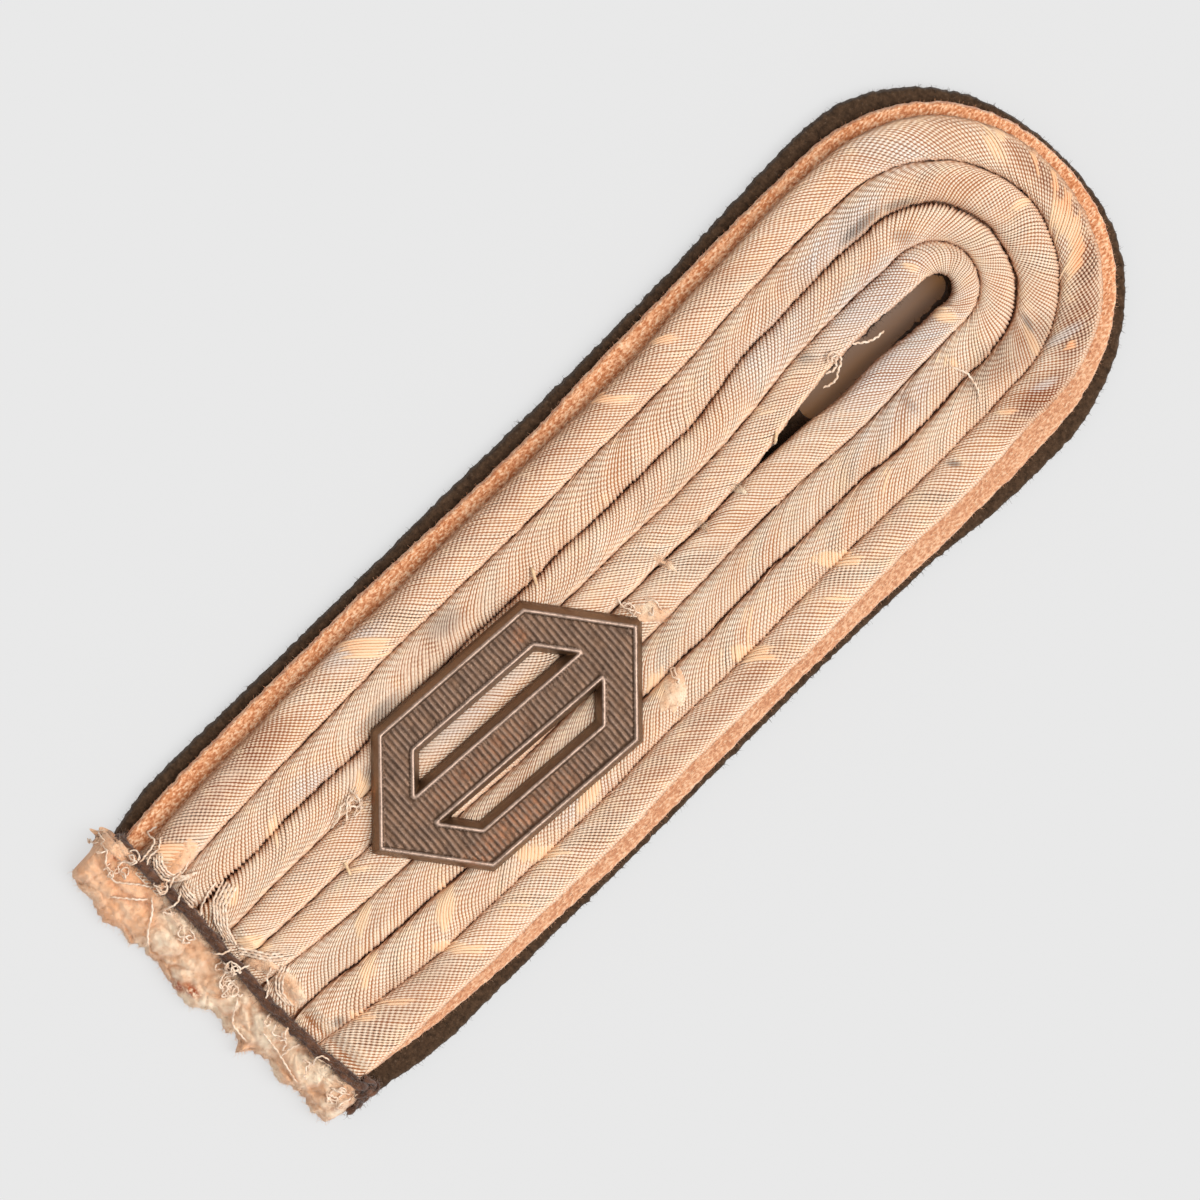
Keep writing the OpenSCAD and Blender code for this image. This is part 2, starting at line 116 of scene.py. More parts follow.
# Thickness of a thread against its distance from the next one
THREAD_FILL = 0.65
# Threads lie farther apart at the cut ends: how much, and over what length it fades
ENDS_APART = 0.15
ENDS_REACH = 7.0
# How much of that the right leg's cut end has
RIGHT_END = 0.35
# Depth of the ribs' core, and how far a thread sinks or stands up at most
CORE_DEPTH = 0.22
SUNK = -0.08
RAISED = 0.16
# Share of the way to a rib's foot over which a thread's points are even, and how far it is tucked in
THREAD_REACH = 0.93
TUCK = 0.45
THREAD_STEPS = 39
# How much thicker and thinner by turns its twist makes a thread, and how much more where it is warm or cool
BEAD = 0.2
BEAD_MORE = 0.12
# Random spread of a thread's place along the rib and of its lean, and how far it sways
PLACE_SPREAD = 0.016
LEAN_SPREAD = 0.012
SWAY = 0.13
# How clearly the twist of the threads shows on each rib, in their beads and in their pale tops and brown
# dips, which are partly painted highlight and shade
TWIST = {1: 0.9, 2: 0.85, 3: 0.95, 4: 1.0}
# Way the threads lean on each rib, against the way the rib runs
LEAN = {1: -1, 2: 1, 3: 1, 4: -1}
# How much they bend across each rib, on the left leg and on the right one
SWEEP = {1: (-0.4, -0.3), 2: (-1.3, -1.4), 3: (1.4, -1.3), 4: (0.3, -0.3)}
# How steeply they lean round the loop: share of the way round, then a factor for each rib
STEEP = np.array([
    [-1.5, 1.06, 1.2, 1.2, 1.06], [-0.7, 0.5, 0.8, 0.9, 1.3], [0, 0.2, 0.45, 0.35, 1.2],
    [0.7, 0.5, 0.6, 0.7, 0.8], [1.5, 1.0, 1.2, 1.2, 1.06],
])


def ripple(seed, *lengths):
    """A smooth seeded noise of as many coordinates as lengths, from about -1 to 1."""
    rng = np.random.default_rng(seed)
    rate = rng.normal(0, 1, (7, len(lengths))) * 2 * math.pi / np.array(lengths) * 0.6
    phase = rng.uniform(0, 2 * math.pi, 7)

    def value(*coordinates):
        total = sum(
            np.sin(sum(r * c for r, c in zip(rate[i], coordinates)) + phase[i])
            for i in range(7)
        )
        return total / 2.8

    return value


def lookup(table, place, column):
    """Value of a table's column at a place."""
    return np.interp(place, table[:, 0], table[:, column])


def loop_radius(angle, edge):
    """Distance of an edge from the loop's middle."""
    opening = SLIT_W / 2 * lookup(LOOP, angle, LOOP_OPEN)
    if edge == 0:
        return opening
    return RIB_W * lookup(LOOP, angle, edge) + GIVE[edge] * opening


LOOP_Y = BRAID_HIGH[1] + BRAID_GAP / 2 - loop_radius(90, 2)
LEG_L = LOOP_Y - END_Y


def seam_x(place):
    """The seam between the legs, at a share of the way up."""
    return RIB_W * lookup(LEG, place, SEAM)


def leg_opening(place):
    """Half the opening's width, at a share of the way up a leg."""
    return SLIT_W / 2 * np.interp((1 - place) * LEG_L / OPENING_L, OPENING[:, 0], OPENING[:, 1])


def leg_edge(place, side, edge):
    """Distance of an edge from the seam, on one side."""
    if edge == 0:
        return np.maximum(SEAM_GAP / 2, leg_opening(place))
    return RIB_W * lookup(LEG, place, side + edge) + GIVE[edge] * leg_opening(place)


# Where the seam between the legs stands open: place along the board, width, length
SEAM_HOLE = (-9.7, 0.4, 1.0)
# How much wider than in the solid the opening is worn on each side of the slit, from where,
# and over what length
SLIT_GIVE = 0.22
GIVE_FROM = 24
GIVE_OVER = 4
# Waviness of the ribs' edges, from the opening outwards
EDGE_WAVE = [0.08, 0.07, 0.12, 0.07, 0.12]
# Share of it that the loop has
LOOP_WAVE = 0.35


def loop_arc(rib):
    """Length of a rib's middle line round the loop."""
    return math.pi * (loop_radius(90, rib - 1) + loop_radius(90, rib)) / 2


def rib_length(rib):
    """Length of a rib's middle line."""
    return 2 * LEG_L + loop_arc(rib)


def along_rib(rib, s):
    """Distances along a rib as: on its left leg, on its right, share up the leg, degrees round the loop."""
    arc = loop_arc(rib)
    on_left, on_right = s < LEG_L, s > LEG_L + arc
    place = np.where(on_left, s, np.where(on_right, rib_length(rib) - s, LEG_L)) / LEG_L
    return on_left, on_right, place, np.clip(180 * (1 - (s - LEG_L) / arc), 0, 180)


def rib_rough(rib, s):
    """Seam and edge distances of a rib at distances along it, straight from the tables."""
    on_left, on_right, place, angle = along_rib(rib, s)
    edges = [
        np.where(on_left, leg_edge(place, LEFT, e),
                 np.where(on_right, leg_edge(place, RIGHT, e), loop_radius(angle, e)))
        for e in (rib - 1, rib)
    ]
    return np.array([seam_x(place), *edges])


# Steps along a rib over which its edges are smoothed
SMOOTHING = (-2.4, -1.2, 0, 1.2, 2.4)
# Length of the waves in its edges, where those of the right leg start,
# and millimetres for each radian of the loop
WAVE_L = 10
RIGHT_RUN = 300
LOOP_RUN = 20
edge_wave = [ripple(90 + i, WAVE_L) for i in range(5)]


def rib_place(rib, s):
    """A rib at distances along it: point on the middle line, way outwards, edge distances, height share."""
    on_left, on_right, place, angle = along_rib(rib, s)
    angle = np.radians(angle)
    x, inner, outer = sum(rib_rough(rib, s + d) for d in SMOOTHING) / len(SMOOTHING)
    high = lookup(LEG, place, HIGH)
    y = END_Y + place * LEG_L
    run = np.where(on_left, y, LOOP_Y + (math.pi - angle) * LOOP_RUN)
    run = np.where(on_right, RIGHT_RUN - y, run)
    calm = np.where(on_left | on_right, 1, LOOP_WAVE)
    inner = inner + calm * EDGE_WAVE[rib - 1] * edge_wave[rib - 1](run)
    outer = outer + calm * EDGE_WAVE[rib] * edge_wave[rib](run)
    if rib == 1:
        inner = inner + SEAM_HOLE[1] * np.exp(-((y - SEAM_HOLE[0]) / SEAM_HOLE[2]) ** 2)
        inner = inner + SLIT_GIVE * np.clip((y - GIVE_FROM) / GIVE_OVER, 0, 1)
    inner = inner + (GROOVE / 2 if rib == 3 else -PRESS)
    outer = outer + {1: PRESS, 2: -GROOVE / 2, 3: PRESS, 4: FULLER}[rib]
    return x, y, np.cos(angle), np.sin(angle), inner, outer, high


# Shape of a rib's top: a rounded box between an ellipse, which is 2, and a square
BOXY = 2.8
TURNS = np.linspace(-1, 1, 121) * math.pi / 2
ACROSS = np.sign(np.sin(TURNS)) * np.abs(np.sin(TURNS)) ** (2 / BOXY)
RISE = np.abs(np.cos(TURNS)) ** (2 / BOXY)
# Arc length across it from the middle, for each of those turns
ARCS = np.hypot(np.diff(RIB_W / 2 * ACROSS), np.diff(RIB_H * (1 - RIB_FOOT) * RISE))
ARCS = np.concatenate([[0], np.cumsum(ARCS)])
ARCS -= ARCS[-1] / 2
HALF_ARC = ARCS[-1]


def rib_surface(rib, s, arc, depth):
    """Points a depth under a rib's surface, and its normals, at distances along and across it."""
    x, y, out_x, out_y, inner, outer, high = rib_place(rib, s)
    across, rise = np.interp(arc, ARCS, ACROSS), np.interp(arc, ARCS, RISE)
    below = np.maximum(np.abs(arc) - HALF_ARC, 0)
    half = (outer - inner) / 2
    top = RIB_H * high * (1 - RIB_FOOT)
    normal_out = np.sign(across) * np.abs(across) ** (BOXY - 1) * top
    normal_up = rise ** (BOXY - 1) * half
    size = np.hypot(normal_out, normal_up)
    normal_out, normal_up = normal_out / size, normal_up / size
    distance = (inner + outer) / 2 + across * half - depth * normal_out
    z = BRAID_Z + RIB_H * high * RIB_FOOT + top * rise - below * high - depth * normal_up
    points = np.stack([x + out_x * distance, y + out_y * distance, z], -1)
    normals = np.stack([out_x * normal_out, out_y * normal_out, normal_up], -1)
    return points, normals


# The camera leans to the left, so it sees what lies on the ribs this far to the right
SEEN = 0.75
# Spots as the camera sees them: x, y, half length, half width, angle of its length from +X, strength.
# Places where the threads are pulled loose and bare
WORN = [
    (13.2, 17, 3.4, 1.1, 45, 0.9), (13.8, 4, 3.6, 1.2, 45, 0.8), (13.2, -25.5, 3.8, 1.2, 45, 0.9),
    (10.2, -36, 3.4, 1.3, -48, 0.8), (14.4, -38, 4.2, 0.9, 42, 0.9), (5.4, -43, 2.8, 0.9, -60, 0.8),
    (9.2, -46, 2.6, 1.0, -55, 0.8), (-14.6, 12, 4.4, 0.9, 45, 0.7), (-14.2, -23.5, 3.6, 1.6, 50, 0.8),
    (4.4, 57.6, 3.4, 1.6, -50, 0.9), (-5.6, 57.6, 3.0, 0.8, -15, 0.6), (9.4, -5, 2.2, 1.3, -60, 1.0),
    (12.6, -18, 2.6, 1.0, -75, 0.9), (-4.2, -34, 3.0, 1.4, -60, 0.8), (-13.4, -52, 1.8, 1.6, 60, 1.0),
    (-0.6, -52.6, 2.2, 1.4, 30, 0.9), (5.2, -53, 2.0, 1.4, -40, 0.9), (-5.8, -50.6, 1.8, 1.2, -60, 0.8),
    (12.4, -50, 2.6, 1.0, 45, 0.6), (-3.0, 22, 2.4, 0.7, 45, 0.4), (11.2, 26, 2.6, 0.8, -45, 0.5),
    (11.2, 46.6, 2.2, 0.6, -22, 0.8), (14.4, 49.0, 1.0, 0.5, 80, 0.8),
    (8.6, 55.4, 3.0, 0.9, -68, 1.0), (0.6, 55.4, 1.8, 0.7, 75, 0.8), (-11.4, 57.2, 3.2, 0.6, 30, 0.7),
    (3.0, 42, 2.4, 1.2, 30, 0.6), (-2.8, 43, 1.8, 0.9, 20, 0.5), (6.8, 39, 2.2, 0.9, 20, 0.5),
    (-7.4, 30, 2.6, 0.8, -50, 0.4), (0.6, -40, 2.4, 0.9, 40, 0.5), (-7.6, -43, 2.8, 0.9, -50, 0.5),
    (-6.4, 59.0, 2.2, 0.5, -10, 0.8), (-1.6, 59.6, 1.8, 0.5, -35, 0.8), (1.4, 59.4, 2.0, 0.6, -45, 0.9),
    (4.0, 58.6, 2.4, 0.8, -52, 1.0), (6.4, 57.4, 2.6, 0.8, -60, 1.0), (14.6, 39.8, 2.2, 0.8, 60, 0.5),
    (16.0, 14.0, 2.6, 0.6, 48, 0.6),
    (-15.2, 20, 2.4, 0.8, 50, 0.5), (2.6, 11, 2.2, 0.6, 45, 0.5), (11.4, 6, 2.4, 0.9, -50, 0.5),
    (-9.8, 4, 2.6, 0.7, -48, 0.4), (15.2, -31, 3.0, 0.5, 48, 0.6), (13.6, -46.6, 3.2, 0.6, 45, 0.7),
]
# Places where the threads are felted together
MATTED = [
    (-9.6, -20, 15, 2.2, 90, 0.9), (-2.6, -19, 12, 2.2, 90, 0.9), (-14.6, -25, 5, 1.8, 80, 0.6),
    (-5.4, -33, 3.0, 2.0, 60, 0.7), (1.4, 0.6, 3.4, 1.8, 30, 0.7), (-2.8, 31, 9, 1.4, 88, 0.15),
    (2.8, 33, 10, 1.4, 90, 0.15), (6.6, 34, 6, 1.8, 90, 0.2), (-9.4, 42, 6, 1.8, 86, 0.4),
    (10.2, 46, 4.0, 1.6, -60, 0.8), (-12, -50, 4, 1.8, 90, 0.6), (0.8, -51, 3, 2, 0, 0.6),
    (-6.6, -48, 3, 1.6, 90, 0.4), (7.2, -20, 10, 0.9, 90, 0.5), (11.4, -30, 4, 1.4, 70, 0.4),
    (14.4, -45, 9, 2.2, 90, 0.45), (-14.6, -45, 8, 2.0, 90, 0.5),
    (13.2, 49.4, 3.0, 0.7, 79, 1.0), (15.4, 44.2, 2.0, 0.6, 73, 1.0),
]
# Greyer and paler places
COOL = [
    (-3.4, 38, 9, 3.4, 90, 0.9), (3.0, 36, 11, 3.2, 90, 0.9), (-10.4, 40, 9, 2.2, 90, 0.8),
    (6.8, 32, 8, 2.4, 90, 0.6), (-12, 50, 6, 3, 50, 0.5), (-7, 28, 9, 3.5, 90, 0.5),
    (-15, -24, 5, 1.8, 80, 0.7), (-8.6, -37, 4, 1.6, 80, 0.6), (-2.0, -20, 9, 1.4, 86, 0.6),
    (12.6, -19, 5, 1.2, 86, 0.6), (13.2, 49.4, 3.0, 0.7, 79, 1.0), (15.4, 44.2, 2.0, 0.6, 73, 1.0),
]
# Browner places, where the weave is open, and one place of painted shade on the first right rib's inner side
# by the buttonhole
WARM_AND_SHADE = [
    (15, 26, 12, 2.0, 88, 0.15), (13.4, 51, 6.6, 2.4, -62, 1.0), (16.0, 43, 7, 2.2, 88, 1.0),
    # (1.9, 33) on the next line is painted shade on the first right rib's inner side
    (9.6, 56, 5, 1.8, -45, 0.9), (1.5, 59.4, 9, 1.8, 0, 0.8), (1.9, 33, 10, 0.9, 90, 0.5),
    (-15, -44, 14, 2.6, 88, 0.95), (14, -46, 9, 3.4, 90, 0.35), (10.6, 44, 8, 2.2, 80, 0.35),
    (-15.8, 0, 40, 2.0, 90, 0.6), (15.6, -5, 22, 1.8, 90, 0.5), (-9.6, -18, 7, 2.4, 90, 0.5),
    (-11, 57, 6, 1.4, 40, 0.6),
]
# Dirty places, then broad darker patches: two of painted shade on the right of the loop, and faint darkening
# elsewhere
SOOT_AND_SHADE = [
    (-9.4, 42.4, 3.4, 0.8, 88, 1.0), (-8.2, 46.6, 2.4, 0.7, 60, 0.7), (-5.6, 44.6, 1.6, 1.0, 40, 0.5),
    (14.7, 32.2, 1.0, 0.5, 40, 1.0), (9.8, 47.5, 1.6, 0.5, -15, 1.0),
    (-3.6, 29, 1.6, 0.8, 40, 0.5), (6.9, 33.2, 1.8, 0.8, 0, 0.5), (-10.4, -16, 3.0, 1.6, 80, 0.5),
    (-8.6, -27, 4.0, 0.9, 90, 0.7), (8.8, -31.6, 1.2, 0.8, 0, 0.6), (1.2, -31.4, 1.2, 1.0, 0, 0.9),
    (4.6, -52.6, 1.2, 0.7, 0, 0.6), (11.0, -52.0, 0.7, 0.8, 0, 0.9), (-4.6, -32, 1.4, 1.2, 0, 0.6),
    # From here broad patches: the first two are painted shade on the right of the loop, the others a faint
    # darkening
    (10.8, 44, 9, 2.8, 80, 0.35), (15, 45, 9, 2.2, 85, 0.15), (6.2, -45, 8, 2.0, 90, 0.18),
    (3.6, 38, 9, 1.6, 90, 0.06), (7, 8, 34, 6, 90, 0.12), (14.4, -45, 8, 2.0, 90, 0.12),
]


def spots(table, points):
    """Strongest spot of a table at each point, from 0 to 1, fading at its edge."""
    found = np.zeros(points.shape[:-1])
    for x, y, length, width, angle, strength in table:
        turn = math.radians(angle)
        dx, dy = points[..., 0] - x, points[..., 1] - y
        u = (dx * math.cos(turn) + dy * math.sin(turn)) / length
        v = (-dx * math.sin(turn) + dy * math.cos(turn)) / width
        found = np.maximum(found, strength * np.clip(1.6 * (1 - np.hypot(u, v)), 0, 1))
    return found


def unit(vectors):
    """The same directions with length 1."""
    return vectors / np.maximum(np.linalg.norm(vectors, axis=-1, keepdims=True), 1e-9)


def run_along(points):
    """Distance along a line at each of its points."""
    return np.concatenate([[0], np.cumsum(np.linalg.norm(np.diff(points, axis=0), axis=1))])


def ring_faces(count, sides):
    """Numbers of the points of a row of rings, and the faces from each ring to the next."""
    number = np.arange(count * sides).reshape(count, sides)
    a, b = number[:-1], number[1:]
    return number, np.stack([a, b, np.roll(b, -1, 1), np.roll(a, -1, 1)], -1).reshape(-1, 4)


def wall_faces(loops, previous, current):
    """Faces from the points of an outer loop and its holes on one level to the same points of the next."""
    found, start = [], 0
    for loop in loops:
        i = start + np.arange(len(loop))
        j = np.roll(i, -1)
        if start:
            i, j = j, i
        found.append(np.stack([previous[i], current[i], current[j], previous[j]], -1))
        start += len(loop)
    return np.concatenate(found)


def put(name, data):
    """A new object in the scene."""
    thing = bpy.data.objects.new(name, data)
    bpy.context.scene.collection.objects.link(thing)
    return thing


class Shell:
    """Points in millimetres, lists of faces with the same number of corners, and values at the points."""

    def __init__(self, points, faces, values=None, material=0):
        self.points = points
        self.faces = faces
        self.values = values or {}
        self.material = material


def make_piece(name, shells, materials, stands_for=()):
    """One object from several shells, riding on the board."""
    starts = np.cumsum([0] + [len(s.points) for s in shells])
    corners, sizes, owner = [], [], []
    for shell, start in zip(shells, starts):
        for faces in shell.faces:
            corners.append((np.asarray(faces) + start).ravel())
            sizes.append(np.full(len(faces), np.shape(faces)[1]))
            owner.append(np.full(len(faces), shell.material))
    corners, sizes, owner = (np.concatenate(x).astype(np.int32) for x in (corners, sizes, owner))
    mesh = bpy.data.meshes.new(name)
    mesh.vertices.add(starts[-1])
    points = np.concatenate([s.points for s in shells]) * MM
    mesh.vertices.foreach_set("co", points.astype(np.float32).ravel())
    mesh.loops.add(len(corners))
    mesh.loops.foreach_set("vertex_index", corners)
    mesh.polygons.add(len(sizes))
    mesh.polygons.foreach_set("loop_start", (np.cumsum(sizes) - sizes).astype(np.int32))
    mesh.polygons.foreach_set("material_index", owner)
    mesh.polygons.foreach_set("use_smooth", np.ones(len(sizes), bool))
    for key in sorted({k for s in shells for k in s.values}):
        value = [s.values.get(key, np.zeros(len(s.points))) for s in shells]
        data = mesh.attributes.new(key, "FLOAT", "POINT").data
        data.foreach_set("value", np.concatenate(value).astype(np.float32))
    mesh.update(calc_edges=True)
    mesh.validate()
    for material in materials:
        mesh.materials.append(material)
    piece = put(name, mesh)
    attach(piece, "root")
    if stands_for:
        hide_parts(*stands_for)
    return piece


def tubes(lines, ups, radii, sides, values=None):
    """Closed tubes round many centre lines at once: lines and ups (k, n, 3), radii and values (k, n)."""
    count, steps = radii.shape
    along = unit(np.gradient(lines, axis=1))
    side = unit(np.cross(along, ups))
    up = np.cross(side, along)
    angle = 2 * math.pi * np.arange(sides) / sides
    ring = np.cos(angle)[:, None] * up[:, :, None] + np.sin(angle)[:, None] * side[:, :, None]
    points = lines[:, :, None] + radii[:, :, None, None] * ring
    number = np.arange(count * steps * sides).reshape(count, steps, sides)
    a, b = number[:, :-1], number[:, 1:]
    quads = np.stack([a, np.roll(a, -1, 2), np.roll(b, -1, 2), b], -1).reshape(-1, 4)
    caps = np.concatenate([number[:, 0, ::-1], number[:, -1]])
    spread = {k: np.repeat(v.ravel(), sides) for k, v in (values or {}).items()}
    return Shell(points.reshape(-1, 3), [quads, caps], spread)


def paint(red, green, blue):
    """Linear colour of screen values from 0 to 255."""
    return tuple((c / 255 / 12.92) if c < 11 else ((c / 255 + 0.055) / 1.055) ** 2.4
                 for c in (red, green, blue)) + (1.0,)


class Paint:
    """A material with short ways to add nodes and join them."""

    def __init__(self, name, **sockets):
        self.material = bpy.data.materials.new(name)
        self.material.use_nodes = True
        self.tree = self.material.node_tree
        self.shader = self.tree.nodes["Principled BSDF"]
        for key, value in sockets.items():
            self.shader.inputs[key.replace("_", " ")].default_value = value
        self.place = None

    def add(self, kind, inputs=(), **settings):
        """A new node with its inputs joined or set."""
        node = self.tree.nodes.new(kind)
        for key, value in settings.items():
            setattr(node, key, value)
        for key, value in dict(inputs).items():
            if isinstance(value, bpy.types.NodeSocket):
                self.tree.links.new(value, node.inputs[key])
            else:
                node.inputs[key].default_value = value
        return node

    def where(self):
        """Place in the object."""
        if self.place is None:
            self.place = self.add("ShaderNodeTexCoord").outputs["Object"]
        return self.place

    def across(self):
        """Place from the left to the right."""
        return self.add("ShaderNodeSeparateXYZ", {0: self.where()}).outputs[0]

    def value(self, name):
        """One of the mesh's values."""
        return self.add("ShaderNodeAttribute", attribute_name=name).outputs["Fac"]

    def part(self, name, share):
        """A share of one of the mesh's values."""
        return self.math("MULTIPLY", self.value(name), share)

    def noise(self, size, detail=3.0, rough=0.55, stretch=(1, 1, 1)):
        """Patches of a size, from 0 to 1."""
        place = self.add("ShaderNodeMapping", {"Vector": self.where(), "Scale": stretch}).outputs[0]
        return self.add("ShaderNodeTexNoise", {
            "Vector": place, "Scale": 1 / (size * MM), "Detail": detail, "Roughness": rough,
        }).outputs["Fac"]

    def math(self, operation, a, b=0.0):
        """Two values put through an operation."""
        return self.add("ShaderNodeMath", {0: a, 1: b}, operation=operation).outputs[0]

    def fit(self, value, low, high, to_low=0.0, to_high=1.0):
        """A value brought from one range to another."""
        return self.add("ShaderNodeMapRange", {
            "Value": value, "From Min": low, "From Max": high, "To Min": to_low, "To Max": to_high,
        }).outputs[0]

    def mix(self, factor, a, b):
        """Between two colours."""
        node = self.add("ShaderNodeMix", data_type="RGBA")
        for socket, value in ((node.inputs[0], factor), (node.inputs[6], a), (node.inputs[7], b)):
            if isinstance(value, bpy.types.NodeSocket):
                self.tree.links.new(value, socket)
            else:
                socket.default_value = value
        return node.outputs[2]

    def bump(self, height, distance, strength=1.0, under=None):
        """Small relief, on top of another one."""
        inputs = {"Height": height, "Distance": distance * MM, "Strength": strength}
        if under is not None:
            inputs["Normal"] = under
        return self.add("ShaderNodeBump", inputs).outputs[0]

    def finish(self, **links):
        """Joins the inputs of the shader and gives the material."""
        for key, socket in links.items():
            self.tree.links.new(socket, self.shader.inputs[key.replace("_", " ")])
        return self.material


def silk_material():
    """Wrapped threads: pale where a twist stands up and brown between, partly their own colours and partly
    painted highlight and shade; painted shade down the ribs' flanks and at their feet; worn, dusty, warm or
    sooty in places, some of the warm and sooty places being painted shade.
    """
    p = Paint("braid_silk", Roughness=0.6, Sheen_Weight=0.1, Sheen_Roughness=0.4, Specular_IOR_Level=0.35)
    patchy = p.fit(p.noise(6, 4), 0.38, 0.66)
    low = p.mix(patchy, paint(206, 150, 106), paint(190, 128, 84))
    low = p.mix(p.part("cool", 0.8), low, paint(164, 136, 112))
    low = p.mix(p.part("warm", 0.9), low, paint(122, 62, 30))
    high = p.mix(patchy, paint(250, 236, 216), paint(246, 229, 206))
    high = p.mix(p.part("warm", 0.8), high, paint(246, 216, 186))
    high = p.mix(p.part("cool", 0.9), high, paint(247, 246, 245))
    high = p.mix(p.part("tone", 0.3), high, paint(238, 208, 174))
    # Painted light: bead tops lit by the twist, the crown lit and the flanks in painted shade
    lit = p.math("MULTIPLY", p.value("twist"), p.fit(p.value("crown"), 0, 1, 0.35, 1))
    lit = p.math("MULTIPLY", lit, p.fit(p.value("warm"), 0, 1, 1, 0.85))
    color = p.mix(lit, low, high)
    creamy = p.fit(p.noise(1.6, 3), 0.5, 0.72, 0, 0.5)
    creamy = p.math("MULTIPLY", creamy, p.fit(p.value("cool"), 0, 1, 1, 0.2))
    color = p.mix(creamy, color, paint(248, 220, 184))
    fuzz = p.mix(p.fit(p.noise(0.3, 4, 0.7), 0.35, 0.65), paint(206, 170, 142), paint(248, 226, 202))
    fuzz = p.mix(p.part("cool", 0.6), fuzz, paint(216, 204, 196))
    color = p.mix(p.part("matted", 0.8), color, fuzz)
    pulled = p.mix(p.value("warm"), paint(244, 210, 172), paint(244, 186, 138))
    pulled = p.mix(p.fit(p.noise(0.35, 3), 0.5, 0.75, 0, 0.5), pulled, paint(222, 176, 138))
    color = p.mix(p.part("wear", 0.95), color, pulled)
    # Soot, and painted shade where the table gives it
    color = p.mix(p.part("soot", 0.75), color, paint(132, 118, 108))
    # Painted shade: browner down the rib's flanks, darker at its feet along the seams
    color = p.mix(p.fit(p.value("crown"), 0.8, 0.4, 0, 0.6), color, paint(216, 142, 86))
    color = p.mix(p.fit(p.value("crown"), 0.6, 0.45, 0, 0.55), color, paint(140, 88, 54))
    return p.finish(Base_Color=color, Normal=p.bump(p.noise(0.12, 2), 0.03, 0.5))


def core_material():
    """What lies under the threads and shows between them."""
    p = Paint("braid_core", Roughness=0.9, Specular_IOR_Level=0.1)
    color = p.mix(p.noise(0.8, 2), paint(150, 96, 62), paint(172, 118, 82))
    color = p.mix(p.part("cool", 0.6), color, paint(140, 106, 84))
    color = p.mix(p.value("warm"), color, paint(122, 60, 28))
    return p.finish(Base_Color=color, Normal=p.bump(p.noise(0.15, 2), 0.05))


SILK, CORE = silk_material(), core_material()


def from_end(rib, s):
    """How near a place is to a cut end of its rib: 1 at the left one, less at the right one, 0 far off."""
    left, right = (np.exp(-np.clip(d, 0, None) / ENDS_REACH) for d in (s, rib_length(rib) - s))
    return left + RIGHT_END * right


# How far past the cut ends the middles of leaning threads go
OVERRUN = 2.4


def thread_starts(rib):
    """Places along a rib where its threads cross the middle line, from before its start to past its end."""
    s, found = -OVERRUN, []
    while s < rib_length(rib) + OVERRUN:
        found.append(s)
        steep = lookup(STEEP, (s - rib_length(rib) / 2) / (loop_arc(rib) / 2), rib)
        s += THREAD_PITCH * (1 + ENDS_APART * from_end(rib, s)) * math.hypot(1, steep)
    return np.array(found)


